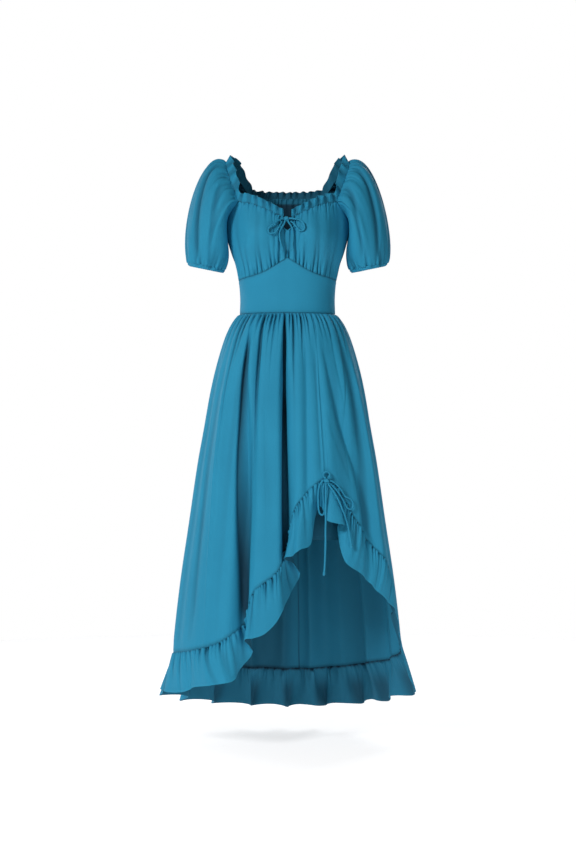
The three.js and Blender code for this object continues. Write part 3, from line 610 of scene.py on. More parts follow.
def tube(name: str, route: np.ndarray, radius: np.ndarray, sides: int = 14) -> bpy.types.Object:
    """A closed tube along a route.

    Args:
        name: the object's name.
        route: the centreline, in millimetres.
        radius: at each point of the route.
        sides: round the tube.

    Returns:
        The new object.
    """
    across, over = frames_along(route)
    turn = np.arange(sides) * 2 * math.pi / sides
    ring = across[:, None] * np.cos(turn)[None, :, None] + over[:, None] * np.sin(turn)[None, :, None]
    points = route[:, None] + ring * np.asarray(radius)[:, None, None]
    count = len(route)
    place = np.concatenate([points.reshape(-1, 3), route[:1], route[-1:]]) * MM
    at = np.arange(count * sides).reshape(count, sides)
    ahead = np.roll(at, -1, axis=1)
    quads = np.stack([at[:-1], ahead[:-1], ahead[1:], at[1:]], -1).reshape(-1, 4)
    ends = [
        np.stack([np.full(sides, count * sides), ahead[0], at[0]], -1),
        np.stack([np.full(sides, count * sides + 1), at[-1], ahead[-1]], -1),
    ]
    triangles = np.concatenate([quads[:, [0, 1, 2]], quads[:, [0, 2, 3]], *ends])
    far = walked(route, 0)
    along = np.concatenate([np.repeat(far, sides), [far[0], far[-1]]])
    round_ = np.concatenate([np.tile(np.arange(sides) / sides * 14.0, count), [0, 0]])
    uv = np.stack([round_, along], -1) * MM
    return mesh_object(name, place, triangles, uv[triangles.reshape(-1)])


@dataclass(frozen=True)
class Tie:
    """One free length of rolled cloth cord, from its knot to its end or back."""

    name: str
    places: tuple[Triple, ...]
    tail: bool = False


@dataclass
class Bow:
    """A bow of rolled cloth cord: its knot, loops and tails."""

    name: str
    knot_at: Triple
    knot_half: Triple
    ties: tuple[Tie, ...]
    radius: float = 2.2
    step: float = 1.6
    tip: float = 3.3

    def knot(self, material: bpy.types.Material) -> bpy.types.Object:
        """The knot: a small bun of cord whose turns cross over it.

        Args:
            material: its finish.

        Returns:
            The knot.
        """
        count, rings = 48, 33
        turn = np.linspace(0, 2 * math.pi, count + 1)[:, None]
        fall = np.linspace(0.02, math.pi - 0.02, rings)[None, :]
        turns_of_cord = 0.13 * np.abs(np.sin(2.0 * turn + 1.6 * np.cos(fall)))
        crossing = 0.1 * np.exp(-((np.sin(turn * 1.5 + fall) / 0.25) ** 2))
        ridges = 1 + turns_of_cord - crossing
        half = np.array(self.knot_half)
        points = np.stack([
            half[0] * np.sin(fall) * np.sin(turn) * ridges,
            -half[1] * np.sin(fall) * np.cos(turn) * ridges,
            half[2] * np.cos(fall) * np.ones_like(turn) * ridges,
        ], -1) + np.array(self.knot_at)
        points[-1] = points[0]
        points[:, 0] = points[:, 0].mean(0)
        points[:, -1] = points[:, -1].mean(0)
        return skin(f"{self.name}_wound_knot", points, material)

    def cord(self, tie: Tie, material: bpy.types.Material) -> bpy.types.Object:
        """One loop or tail.

        Args:
            tie: the cord's name and places.
            material: its finish.

        Returns:
            The cord.
        """
        route = even_route(smooth_route(tie.places), self.step)
        far = walked(route, 0)
        radius = self.radius * (1 + 0.03 * np.sin(far * 0.9) + 0.02 * np.sin(far * 0.37 + 1))
        piece = tube(f"{tie.name}_cord", route, radius)
        piece.data.materials.append(material)
        along = [piece]
        if tie.tail:
            along.append(self.tip_of(tie, route, material))
        for each in along:
            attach(each, BODY)
        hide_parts(tie.name)
        return piece

    def tip_of(self, tie: Tie, route: np.ndarray, material: bpy.types.Material) -> bpy.types.Object:
        """The small overhand knot in a tail's end.

        Args:
            tie: the tail.
            route: its centreline.
            material: its finish.

        Returns:
            The knot in the end.
        """
        ahead = unit(route[-1] - route[-3])
        low, high = -7.0, 2.2
        stops = np.linspace(low, high, 23)
        share = (stops - low) / (high - low)
        swell = self.radius * 0.9 + (self.tip - self.radius * 0.9) * np.sin(np.pi * share) ** 0.6
        swell = swell * (1 + 0.1 * np.sin(share * 12.0))
        swell[0], swell[-1] = self.radius * 0.9, self.radius * 0.5
        line = route[-1] + stops[:, None] * ahead
        piece = tube(tie.name.replace("_tail_", "_tip_"), line, swell)
        piece.data.materials.append(material)
        return piece

    def build(self, material: bpy.types.Material) -> None:
        """Makes the knot and every cord of the bow.

        Args:
            material: its finish.
        """
        knot = self.knot(material)
        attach(knot, BODY)
        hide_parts(f"{self.name}_knot")
        for tie in self.ties:
            piece = self.cord(tie, material)
            LOG.info("cord %s: %d faces", piece.name, len(piece.data.polygons))


def skin(name: str, points: np.ndarray, material: bpy.types.Material) -> bpy.types.Object:
    """A closed surface over a grid that closes on itself and ends in two poles.

    Args:
        name: the object's name.
        points: the grid, round and then from pole to pole, in millimetres.
        material: its finish.

    Returns:
        The new object.
    """
    count, rings = points.shape[0] - 1, points.shape[1]
    body = points[:-1, 1:-1]
    at = np.arange(count * (rings - 2)).reshape(count, rings - 2)
    ahead = np.roll(at, -1, axis=0)
    quads = np.stack([at[:, :-1], at[:, 1:], ahead[:, 1:], ahead[:, :-1]], -1).reshape(-1, 4)
    top, foot = body.shape[0] * body.shape[1], body.shape[0] * body.shape[1] + 1
    ends = [
        np.stack([np.full(count, top), at[:, 0], ahead[:, 0]], -1),
        np.stack([np.full(count, foot), ahead[:, -1], at[:, -1]], -1),
    ]
    triangles = np.concatenate([quads[:, [0, 1, 2]], quads[:, [0, 2, 3]], *ends])
    place = np.concatenate([body.reshape(-1, 3), points[:1, 0], points[:1, -1]]) * MM
    uv = place[:, [0, 2]]
    piece = mesh_object(name, place, triangles, uv[triangles.reshape(-1)])
    piece.data.materials.append(material)
    return piece


NECK_BOW = Bow(
    "neck_tie",
    (-2.5, -107, -122),
    (6, 4.6, 5.5),
    (
        Tie("neck_tie_loop_right", (
            (-9.3, -108, -120.6), (-20, -114.5, -126), (-33, -122.5, -136), (-43.5, -124.5, -147),
            (-41.5, -124.5, -156), (-29, -122.5, -155), (-20, -119.5, -143), (-12.5, -110, -128.8),
        )),
        Tie("neck_tie_loop_left", (
            (3.8, -108, -121), (16, -113.5, -122.5), (28, -117, -125.5), (37.5, -122.5, -135),
            (38.5, -123.5, -146), (30, -121, -150.5), (20.5, -119, -141), (13, -113.5, -132),
            (7.5, -110, -127.8),
        )),
        Tie("neck_tie_tail_right", (
            (-5.3, -110.6, -126.2), (-7, -113, -132), (-11.5, -115, -140), (-17.5, -116.5, -152),
            (-17.5, -116, -167), (-14.5, -112.5, -180), (-11.5, -110, -192.5),
        ), tail=True),
        Tie("neck_tie_tail_left", (
            (0.4, -110.6, -126.2), (3, -112, -131), (8.5, -113, -139), (12.5, -114.5, -153),
            (12.5, -114, -168), (11.5, -111, -182.5), (13, -108.5, -195),
        ), tail=True),
    ),
)
SKIRT_BOW = Bow(
    "skirt_tie",
    (89, -159, -722.5),
    (6, 4.8, 6),
    (
        Tie("skirt_tie_ring", (
            (86.8, -160.3, -715.9), (82, -160, -711.5), (81.5, -159, -705), (87, -158.5, -701),
            (93.5, -158.5, -702.5), (96, -159.3, -709.5), (91.9, -160.3, -716.3),
        )),
        Tie("skirt_tie_loop_right", (
            (81.4, -159.6, -720), (75, -161, -727), (70.5, -160, -741), (69.6, -158, -761),
            (70, -155.6, -778), (71.2, -154.9, -789.5), (74.4, -155.4, -796.8), (78.6, -156.8, -799.2),
            (82.4, -158.4, -796.4), (84.2, -160, -789.5), (83.4, -161.2, -777), (81, -161.4, -757),
            (81.2, -160.2, -738), (83.8, -158, -727.9),
        )),
        Tie("skirt_tie_loop_left", (
            (96.1, -159.6, -720.7), (104, -159.3, -724), (112, -157, -730), (121.5, -153.5, -741.5),
            (131.5, -150.5, -757), (143, -145.5, -763), (149.5, -143, -774.5), (145, -146.5, -786.5),
            (136, -150.5, -783), (127.5, -153.5, -768), (115, -157, -747), (105, -158.3, -735.5),
            (94.6, -157.6, -726.8),
        )),
        Tie("skirt_tie_tail_right", (
            (87, -163.9, -727.2), (87, -166, -737), (86.8, -167, -753), (86.5, -168, -787),
            (86.5, -170, -812), (86, -170, -832), (86, -169.5, -855), (85.5, -169, -878),
            (84.5, -168, -910), (82.5, -167, -934),
        ), tail=True),
        Tie("skirt_tie_tail_left", (
            (91.5, -164, -726.8), (95.5, -166, -733), (105, -167.5, -746), (116, -167, -766),
            (124.5, -161, -786), (131.5, -155.5, -805), (137.5, -154, -827), (142, -156, -849.5),
            (145, -158, -871),
        ), tail=True),
    ),
)


# Forms


TORSO = Table("z side front back", (
    (-336, 111.5, 87, 86), (-300, 110.5, 86, 85), (-270, 112.5, 88, 85), (-242, 117, 91, 86),
    (-214, 124, 96, 88), (-200, 129.5, 98, 90), (-180, 136, 100, 92), (-150, 144, 101, 94),
    (-120, 149, 99, 95), (-80, 146, 94, 93), (-40, 142, 88, 90), (10, 140, 80, 84),
))
SKIRT_FORM = Table("down side front back", (
    (0, 112.5, 88, 87), (9, 121, 95, 96), (23, 131, 103, 105), (47, 143, 112, 115), (75, 153, 119, 124),
    (132, 169, 131, 138), (188, 182, 140, 150), (273, 198, 150, 163), (343, 211, 158, 173),
    (484, 232, 171, 190), (625, 253, 183, 205), (766, 269, 193, 216), (870, 277, 198, 222),
))
HEM_SEAM = Table("angle z", (
    (-180, -1195), (-150, -1188), (-120, -1166), (-98, -1140), (-79, -1125), (-55, -1106), (-45, -1092),
    (-38, -1074), (-32, -1044), (-26, -984), (-18, -956), (-9, -932), (-3, -900), (0, -862), (3, -812),
    (6, -783), (12, -760), (19, -738), (25, -723), (28.5, -718), (33, -722), (37, -731), (42, -762),
    (47, -798), (52, -824), (57, -848), (64, -888), (69, -916), (74, -953), (79, -988), (83, -1034),
    (87, -1086), (92, -1120), (104, -1148), (120, -1166), (150, -1188), (180, -1195),
))
SKIRT_FOLDS = Table("top foot deep left right from full", (
    (-176, -177, 17, 5, 8, 30, 420), (-152, -155, 24, 6, 5, 10, 300), (-130, -134, 15, 6, 8, 80, 500),
    (-109, -112, 20, 6, 5, 30, 380), (-90, -91, 9, 5, 7, 60, 420), (-74, -71, 5, 5, 6, 20, 350),
    (-57, -50, -6, 7, 3, 60, 300), (-43, -33.5, 24, 3, 5, 8, 260), (-31, -26.5, 8, 5, 4, 5, 120),
    (-4.5, -1.5, 32, 2.6, 5.5, 3, 170), (20, 16, 7, 4, 5, 8, 160), (35, 58, 13, 4, 5, 60, 330),
    (64, 66, -7, 3, 7, 60, 300), (80, 82, 12, 5, 6, 60, 400), (99, 103, 17, 5, 6, 20, 350),
    (118, 122, 40, 8, 5, 50, 420), (140, 144, 16, 6, 7, 30, 400), (160, 164, 24, 5, 6, 10, 300),
))
FRONT_FLUTES = Table("angle across drop out", (
    (-98, 6, 92, 26), (-90, -4, 83, 32), (-84, 12, 89, 34), (-76, 26, 93, 30), (-69, 24, 92, 20),
    (-65, 15, 88, 4), (-62, 0, 86, -8), (-59, 14, 84, 8), (-53, 36, 84, 28), (-47, 43, 86, 34),
    (-42, 36, 92, 26), (-38.5, 21, 96, 8), (-35.5, -1, 85, -18), (-32.5, 1, 70, -30), (-30.5, 3, 70, -10),
    (-28.5, 0, 78, 22), (-25, 12, 101, 34), (-19, 20, 109, 38), (-12.5, 16, 104, 32), (-7, 12, 92, 20),
    (-4, 9, 88, 2), (-2.2, 19, 78, -22), (-0.8, 29, 66, -30), (0.6, 12, 62, -4), (2, -13, 75, 24),
    (5, -9, 104, 34), (10, -5, 112, 36), (15, 2, 117, 26), (18.5, 3, 87, 6), (22, 6, 64, -16),
    (26, 5, 59, -24), (29, -4, 73, 2), (31, -12, 92, 18), (34, -7, 96, 27), (37.5, 8, 92, 20),
    (39.5, 11, 81, -2), (41.5, 6, 74, -24), (44, -11, 84, -10), (46, -26, 101, 10), (48.5, -39, 106, 26),
    (54, -30, 102, 31), (60, -19, 95, 26), (66, -31, 83, 22), (72, -22, 67, 18), (77, -6, 55, 14),
    (81.5, 11, 76, 6), (86, 4, 90, 16), (91, 0, 104, 32), (98, -2, 92, 34),
))
FRONT_NECK = Table("angle z", ((0, -120), (14, -109), (31, -95), (46, -83), (60, -77)))
BACK_NECK = Table("angle z", ((131, -50), (150, -52), (180, -53)))
UNDERBUST = Table("angle z", ((0, -210), (14, -224), (29, -238), (43, -247), (65, -254), (90, -258)))
KEYHOLE = Table("share half", ((0, 2.5), (0.08, 8.5), (0.16, 11), (0.24, 8), (0.31, 0)))
KEYHOLE_REACH = 18
SLEEVE_FORM = Table("share goX goY goZ comeX comeY comeZ", (
    (0, 3, 0, -26, -16, 0, 24), (0.125, 4, -28, -18, -40, -26, 30), (0.25, 30, -46, 8, -6, -44, 56),
    (0.375, 58, -34, 38, 26, -25, 50), (0.5, 66, 0, 50, 39, 0, 38), (0.625, 58, 34, 38, 26, 25, 50),
    (0.75, 34, 44, 8, 0, 42, 56), (0.875, 12, 28, -14, -16, 28, 40), (1, 3, 0, -26, -16, 0, 24),
))
# The long folds of each sleeve: shares of the way round at the top and at the foot, depth and width.
SLEEVE_FOLDS = {
    Side.LEFT: (
        (0.4, 0.31, 7.5, 0.015), (0.31, 0.2, 5, 0.014), (0.5, 0.45, 4.5, 0.016), (0.62, 0.6, 8, 0.03),
        (0.76, 0.8, 7, 0.03),
    ),
    Side.RIGHT: (
        (0.44, 0.31, 7.5, 0.015), (0.34, 0.22, 5, 0.014), (0.52, 0.43, 5, 0.016), (0.66, 0.63, 8, 0.03),
        (0.78, 0.82, 6, 0.03),
    ),
}
RUFFLE_STAND = Table("part x y tall", (
    (0, 0, -0.2, 16), (0.7, -0.05, -0.2, 20), (1, -0.35, -0.15, 20), (1.2, -0.95, -0.05, 22),
    (1.35, -1.2, 0, 22), (1.5, -0.95, 0, 19), (1.65, -1.1, 0, 23), (1.85, -0.6, 0, 22), (2, -0.25, 0.1, 19),
    (3, 0, 0.1, 17),
))
LINING_FORM = Table("down side front back", (
    (0, 111, 86.5, 85.5), (60, 124, 92, 96), (200, 146, 97, 110), (523, 168, 120, 130),
))


@dataclass(frozen=True)
class Bust:
    """Where the torso swells forward, and how far, in millimetres."""

    across: float = 66
    z: float = -156
    forward: float = 28
    wide: float = 48
    above: float = 54
    below: float = 48


BUST = Bust()


def torso_point(angle: np.ndarray, z: np.ndarray) -> np.ndarray:
    """The plain torso under the bodice, on a general figure.

    Args:
        angle: degrees from the front centre, towards the wearer's left.
        z: heights, in millimetres.

    Returns:
        Points in millimetres.
    """
    angle, z = np.broadcast_arrays(np.asarray(angle, float), np.asarray(z, float))
    radius = oval_radius(angle, TORSO.at("side", z), TORSO.at("front", z), TORSO.at("back", z))
    point = at_radius(angle, radius, z)
    tall = np.where(z > BUST.z, BUST.above, BUST.below)
    aside = (np.abs(point[..., 0]) - BUST.across) / BUST.wide
    swell = BUST.forward * np.exp(-(aside**2) - ((z - BUST.z) / tall) ** 2)
    point[..., 1] -= np.where(np.cos(np.radians(angle)) > 0, swell, 0)
    return point


def torso_normal(angle: np.ndarray, z: np.ndarray) -> np.ndarray:
    """The outward normal of the torso.

    Args:
        angle: degrees from the front centre, towards the wearer's left.
        z: heights, in millimetres.

    Returns:
        Unit vectors.
    """
    across = torso_point(angle + 0.5, z) - torso_point(angle - 0.5, z)
    down = torso_point(angle, z - 1) - torso_point(angle, z + 1)
    return unit(np.cross(down, across))


def front_top(angle: np.ndarray) -> np.ndarray:
    """The height of the bust panel's upper edge: the neckline, and then the armhole.

    Args:
        angle: degrees from the front centre, towards the wearer's left.

    Returns:
        Heights in millimetres.
    """
    aside = np.abs(angle)
    corner = float(FRONT_NECK.at("z", NECK_CORNER))
    armhole = (np.clip(SIDE_SEAM - aside, 0, 30) / (SIDE_SEAM - NECK_CORNER)) ** 1.25
    return np.where(aside <= NECK_CORNER, FRONT_NECK.at("z", aside), mix(UNDERARM_Z, corner, armhole))


def back_top(angle: np.ndarray) -> np.ndarray:
    """The height of the bodice back's upper edge.

    Args:
        angle: degrees from the front centre, towards the wearer's left.

    Returns:
        Heights in millimetres.
    """
    aside = np.where(np.abs(angle) > 180, 360 - np.abs(angle), np.abs(angle))
    corner = float(BACK_NECK.at("z", BACK_CORNER))
    armhole = (np.clip(aside - SIDE_SEAM, 0, 41) / (BACK_CORNER - SIDE_SEAM)) ** 1.25
    return np.where(aside >= BACK_CORNER, BACK_NECK.at("z", aside), mix(UNDERARM_Z, corner, armhole))


def underbust(angle: np.ndarray) -> np.ndarray:
    """The height of the seam under the bust, an upturned V at the front centre."""
    return UNDERBUST.at("z", np.minimum(SIDE_SEAM, np.abs(angle)))


def skirt_point(angle: np.ndarray, z: np.ndarray) -> np.ndarray:
    """The skirt with its large folds, without the small gathers.

    Args:
        angle: degrees from the front centre, towards the wearer's left.
        z: heights, in millimetres.

    Returns:
        Points in millimetres.
    """
    angle, z = np.broadcast_arrays(np.asarray(angle, float), np.asarray(z, float))
    down = np.maximum(0, WAIST_Z - z)
    radius = oval_radius(angle, *(SKIRT_FORM.at(column, down) for column in ("side", "front", "back")))
    turn = np.where(angle > 180, angle - 360, angle)
    for top, foot, deep, left, right, start, full in SKIRT_FOLDS.rows:
        away = turn - mix(top, foot, smooth(0, 500, down))
        away = (away + 180) % 360 - 180
        bent = np.abs(away) / np.where(away < 0, left, right)
        narrow = mix(1.5, 1, smooth(0, 260, down))
        radius = radius - deep * smooth(start * 0.4, full, down) * np.exp(-((bent * narrow) ** 1.7))
    return at_radius(angle, radius, z)


def skirt_normal(angle: np.ndarray, z: np.ndarray) -> np.ndarray:
    """The outward normal of the skirt.

    Args:
        angle: degrees from the front centre, towards the wearer's left.
        z: heights, in millimetres.

    Returns:
        Unit vectors.
    """
    across = skirt_point(angle + 0.6, z) - skirt_point(angle - 0.6, z)
    down = skirt_point(angle, z - 2) - skirt_point(angle, z + 2)
    return unit(np.cross(down, across))


def hem_seam(angle: np.ndarray) -> np.ndarray:
    """The height of the seam between skirt and flounce."""
    return HEM_SEAM.at("z", np.where(np.asarray(angle) > 180, np.asarray(angle) - 360, angle))


def slit_angle(row: np.ndarray) -> np.ndarray:
    """Where the drawn-up seam lies, by the share of the way down."""
    return mix(SLIT_ANGLE_AT_WAIST, SLIT_ANGLE, smooth(0, 0.52, row))


# Garment pieces


@dataclass(frozen=True)
class Cut:
    """How a cloth piece was cut, in metres, and how it is carried. The share is of its flat rectangle."""

    node: str
    flat: tuple[float, float]
    share: float
    held: Held
    rests_on: tuple[str, ...]
    slot: str = "cloth"


WAIST_PANELS = ("waist_panel_front", "waist_panel_back")
CUTS = {
    "bust_panel": Cut("bust_front", (0.5, 0.19), 0.8, Held.GATHERED, ("midriff_front", "bodice_back")),
    "waist_panel_front": Cut(
        "midriff_front", (0.36, 0.13), 0.75, Held.STRETCHED, ("bust_panel", "skirt_panel_front_right")
    ),
    "bodice_panel_back": Cut(
        "bodice_back", (0.5, 0.24), 0.72, Held.GATHERED, ("waist_panel_back", "bust_panel")
    ),
    "waist_panel_back": Cut(
        "midriff_back", (0.34, 0.085), 1.0, Held.STRETCHED, ("bodice_panel_back", "skirt_panel_back")
    ),
    "neck_ruffle_back_frill": Cut(
        "neck_ruffle_back", (0.36, 0.014), 1.0, Held.GATHERED, ("bodice_panel_back",)
    ),
    "skirt_panel_front_right": Cut("skirt_front_right", (0.7, 0.86), 0.62, Held.GATHERED, WAIST_PANELS),
    "skirt_panel_front_left": Cut("skirt_front_left", (0.36, 0.72), 0.6, Held.GATHERED, WAIST_PANELS),
    "skirt_panel_back": Cut("skirt_back", (0.9, 0.88), 0.88, Held.GATHERED, WAIST_PANELS),
    "lining_tube": Cut("skirt_lining", (0.94, 0.525), 0.95, Held.HUNG, ("waist_panel_front",), "lining"),
}
CUTS |= {
    f"flounce_frill_{place}": Cut(f"flounce_{place}", flat, 1.0, Held.GATHERED, (f"skirt_panel_{place}",))
    for place, flat in (("front_right", (0.97, 0.09)), ("front_left", (0.5, 0.085)), ("back", (1.1, 0.1)))
}
CUTS |= {
    f"puff_sleeve_{side.value}": Cut(
        f"sleeve_{side.value}", (0.5, 0.33), 0.75, Held.GATHERED, ("bust_panel", "bodice_panel_back")
    )
    for side in Side
}
CUTS |= {
    f"neck_ruffle_{place}_{side.value}_frill": Cut(
        f"neck_ruffle_{place}_{side.value}", flat, 1.0, Held.GATHERED, ("bust_panel",)
    )
    for place, flat in (("front", (0.22, 0.016)), ("sleeve", (0.42, 0.018)))
    for side in Side
}


def finish_cloth(piece: bpy.types.Object, material: bpy.types.Material) -> None:
    """Dresses a cloth piece, sets it on its body and hides the CAD part that it stands for.

    Args:
        piece: the piece, whose name is in CUTS.
        material: its finish.
    """
    cut = CUTS[piece.name]
    piece.data.materials.append(material)
    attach(piece, BODY)
    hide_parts(cut.node)


def line_on(points: np.ndarray, row: int, closed: bool = False) -> np.ndarray:
    """The places of a stitch line just above one row of a grid of cloth."""
    return points[:, row] + normals_of(points, closed)[:, row] * THREAD_LIFT


def round_torso(angles: np.ndarray) -> np.ndarray:
    """How far round the torso each angle is, at the height of the underarm."""
    return walked(torso_point(angles, np.full(angles.shape, UNDERARM_Z)), 0)[:, None]


def between(z: np.ndarray, top: np.ndarray, foot: np.ndarray, reach: float) -> np.ndarray:
    """A share that rises from 0 at a panel's upper and lower seams to 1 inside it."""
    return smooth(0, reach, top - z) * smooth(0, reach, z - foot)


def hidden_unevenness(k: np.ndarray) -> np.ndarray:
    """An uneven but fixed number from 0 to 1, as in the solids."""
    return np.abs(np.fmod(np.sin(k * 12.9898 + 4.1) * 43758.5453, 1))


def in_fold(lift: np.ndarray, full: float = 9.0, most: float = 0.8) -> np.ndarray:
    """How shaded the cloth is down in a fold, from 0 to 1."""
    return most * np.clip((-lift - 0.8) / full, 0, 1) ** 0.9


def seam_shade(away: np.ndarray, wide: float = 1.8, most: float = 0.55) -> np.ndarray:
    """The painted shade where cloth turns in to a seam, from 0 to 1."""
    return most * np.exp(-((away / wide) ** 2))


def groove(away: np.ndarray, deep: float = 0.7, wide: float = 1.3) -> np.ndarray:
    """The dip of cloth that turns in to a seam."""
    return -deep * np.exp(-((away / wide) ** 2))


@dataclass
class Bodice:
    """The gathered bust panel, the smooth waist panels and the bodice back."""

    columns: int = 150
    rows: int = 96
    panel_columns: int = 240
    neck_gathers: Gathers = Gathers(11, 8.6, 3.8, 19, 2.1, 0.03)
    seam_gathers: Gathers = Gathers(12, 9.4, 5.2, 25, 2.2, 0.04)
    centre_gathers: Gathers = Gathers(13, 9.0, 4.6, 90, 2.2, 0.01)
    back_gathers: Gathers = Gathers(14, 9.5, 3.2, 44, 2.4, 0.03)
    yoke_gathers: Gathers = Gathers(15, 11.0, 2.4, 34, 2.6)
    lines: list[np.ndarray] = field(default_factory=list)

    def bust_half(self, sign: int) -> Sheet:
        """One half of the bust panel, from its side seam to the front slit.

        Args:
            sign: 1 for the wearer's left half and -1 for the right.

        Returns:
            The cloth of that half.
        """
        spread = np.linspace(0, 1, self.columns + 1)
        angles = -SIDE_SEAM * (1 - spread) if sign < 0 else SIDE_SEAM * spread
        share = np.linspace(0, 1, self.rows + 1)[None, :]
        angle, aside = angles[:, None], np.abs(angles[:, None])
        top, foot = front_top(angle) - SEAM_GAP, underbust(angle) + SEAM_GAP / 2
        z = mix(top, foot, share)
        along = sign * round_torso(angles)
        along = along - along[-1 if sign < 0 else 0]
        by_neck = smooth(66, 56, aside)
        upper = self.neck_gathers.lift(along, top - z, by_neck)
        lower = self.seam_gathers.lift(along, z - foot, smooth(88, 76, aside))
        middle = self.centre_gathers.lift(along, top - z, smooth(24, 9, aside) * smooth(0, 12, z - foot))
        lift = upper + lower + 0.8 * middle
        lift = lift + groove(top - z) * by_neck + groove(z - foot)
        lift = lift + Undulation(21, 1.1, 46).at(along + 400, z) * between(z, top, foot, 14)
        points = torso_point(angle, z) + torso_normal(angle, z) * lift[..., None]
        pushed = np.clip(1 - aside / KEYHOLE_REACH, 0, 1) ** 2
        points[..., 0] += sign * pushed * KEYHOLE.at("half", share)
        cut = np.stack(np.broadcast_arrays(along * 1.5, top - z), -1)
        # Painted shade: darker in the gathers' troughs and at the seam under the bust, and dark on the inner
        # face.
        return Sheet(points, cut, fold=in_fold(lift, 6.0) + seam_shade(z - foot, 2.2), inside=0.8)

    def panel(
        self, angles: np.ndarray, z: np.ndarray, top: np.ndarray, foot: np.ndarray, lift: np.ndarray
    ) -> Sheet:
        """A panel of the torso between two seams, lifted off it.

        Args:
            angles: degrees from the front centre, towards the wearer's left.
            z: heights, in millimetres.
            top: the heights of its upper seam.
            foot: the heights of its lower seam.
            lift: how far it lies off the torso, in millimetres.

        Returns:
            The cloth.
        """
        angle = angles[:, None]
        points = torso_point(angle, z) + torso_normal(angle, z) * lift[..., None]
        # Painted shade: darker in troughs and at the upper and lower seams, and dark on the inner face.
        fold = in_fold(lift, 7.0) + seam_shade(top - z) + seam_shade(z - foot)
        return Sheet(points, fold=fold, inside=0.85)

    def back_panel(self, angles: np.ndarray, along: np.ndarray, foot: np.ndarray) -> Sheet:
        """The bodice back, gathered at the neckline and at the seam under it.

        Args:
            angles: degrees from the front centre, towards the wearer's left.
            along: millimetres along the seams.
            foot: the heights of its lower seam.

        Returns:
            The cloth.
        """
        top = back_top(angles)[:, None] - SEAM_GAP
        z = mix(top, foot, np.linspace(0, 1, 81)[None, :])
        inner = smooth(90, 104, angles[:, None]) * smooth(270, 256, angles[:, None])
        lift = self.back_gathers.lift(along, top - z, inner) + groove(top - z) * inner + groove(z - foot)
        lift = lift + self.yoke_gathers.lift(along, z - foot, inner)
        lift = lift + Undulation(32, 1.2, 60).at(along, z) * between(z, top, foot, 20)
        sheet = self.panel(angles, z, top, foot, lift)
        # Painted shade on the inner face: lighter on the band under the neckline and much darker below it,
        # where the inside of the back lies in shade.
        sheet.inside = 0.45 + 0.53 * smooth(9, 15, top - z)
        return sheet

    def waist_panel(
        self, angles: np.ndarray, along: np.ndarray, top: np.ndarray, rows: int, seed: int
    ) -> Sheet:
        """A smooth panel that ends at the waist seam.

        Args:
            angles: degrees from the front centre, towards the wearer's left.
            along: millimetres along the seams.
            top: the heights of its upper seam.
            rows: the steps downwards.
            seed: for its random draws.

        Returns:
            The cloth.
        """
        foot = np.full((len(angles), 1), WAIST_Z + SEAM_GAP / 2)
        z = mix(top, foot, np.linspace(0, 1, rows + 1)[None, :])
        soft = Undulation(seed, 0.2, 70).at(along, z) * between(z, top, foot, 12)
        sheet = self.panel(angles, z, top, foot, soft + groove(top - z) + groove(z - foot))
        self.lines += [line_on(sheet.points, 2), line_on(sheet.points, -3)]
        return sheet

    def build(self, crepe: bpy.types.Material) -> None:
        """Makes the four pieces.

        Args:
            crepe: the finish of the cloth.
        """
        halves = [self.bust_half(-1), self.bust_half(1)]
        self.lines += [line_on(half.points, 3) for half in halves]
        front = np.linspace(-SIDE_SEAM, SIDE_SEAM, self.panel_columns + 1)
        back = np.linspace(SIDE_SEAM, 360 - SIDE_SEAM, self.panel_columns + 1)
        along, yoke = round_torso(back), np.full((len(back), 1), float(UNDERBUST.at("z", SIDE_SEAM)))
        pieces = {
            "bust_panel": halves,
            "waist_panel_front": [
                self.waist_panel(front, front[:, None] * 2, underbust(front)[:, None] - SEAM_GAP / 2, 40, 31)
            ],
            "bodice_panel_back": [self.back_panel(back, along, yoke + SEAM_GAP / 2)],
            "waist_panel_back": [self.waist_panel(back, along, yoke - SEAM_GAP / 2, 30, 33)],
        }
        for name, sheets in pieces.items():
            finish_cloth(wall_mesh(name, sheets), crepe)


def neckline_at(part: np.ndarray) -> np.ndarray:
    """The neckline from the front centre (0) over the wearer's left shoulder to the back centre (3).

    Args:
        part: places on the neckline, from 0 to 3.

    Returns:
        Points in millimetres.
    """
    part = np.asarray(part, float)
    front_angle = mix(0, NECK_CORNER, np.clip(part, 0, 1))
    back_angle = mix(BACK_CORNER, 180, np.clip(part - 2, 0, 1))
    front = torso_point(front_angle, front_top(front_angle))
    back = torso_point(back_angle, back_top(back_angle))
    corner = torso_point(np.array(NECK_CORNER), front_top(np.array(NECK_CORNER)))
    rear = torso_point(np.array(BACK_CORNER), back_top(np.array(BACK_CORNER)))
    share = np.clip(part - 1, 0, 1)[..., None]
    arch = np.sin(math.pi * share) ** 0.9
    top = corner + (rear - corner) * share
    middle = (corner + rear) / 2
    over = top + arch * np.array([144 - middle[0], 0, 23 - middle[2]])
    return np.where(part[..., None] <= 1, front, np.where(part[..., None] >= 2, back, over))


def ruffle_way(part: np.ndarray) -> np.ndarray:
    """The way that the neckline ruffle stands up."""
    upward = np.ones(np.shape(part))
    return unit(np.stack([RUFFLE_STAND.at("x", part), RUFFLE_STAND.at("y", part), upward], -1))


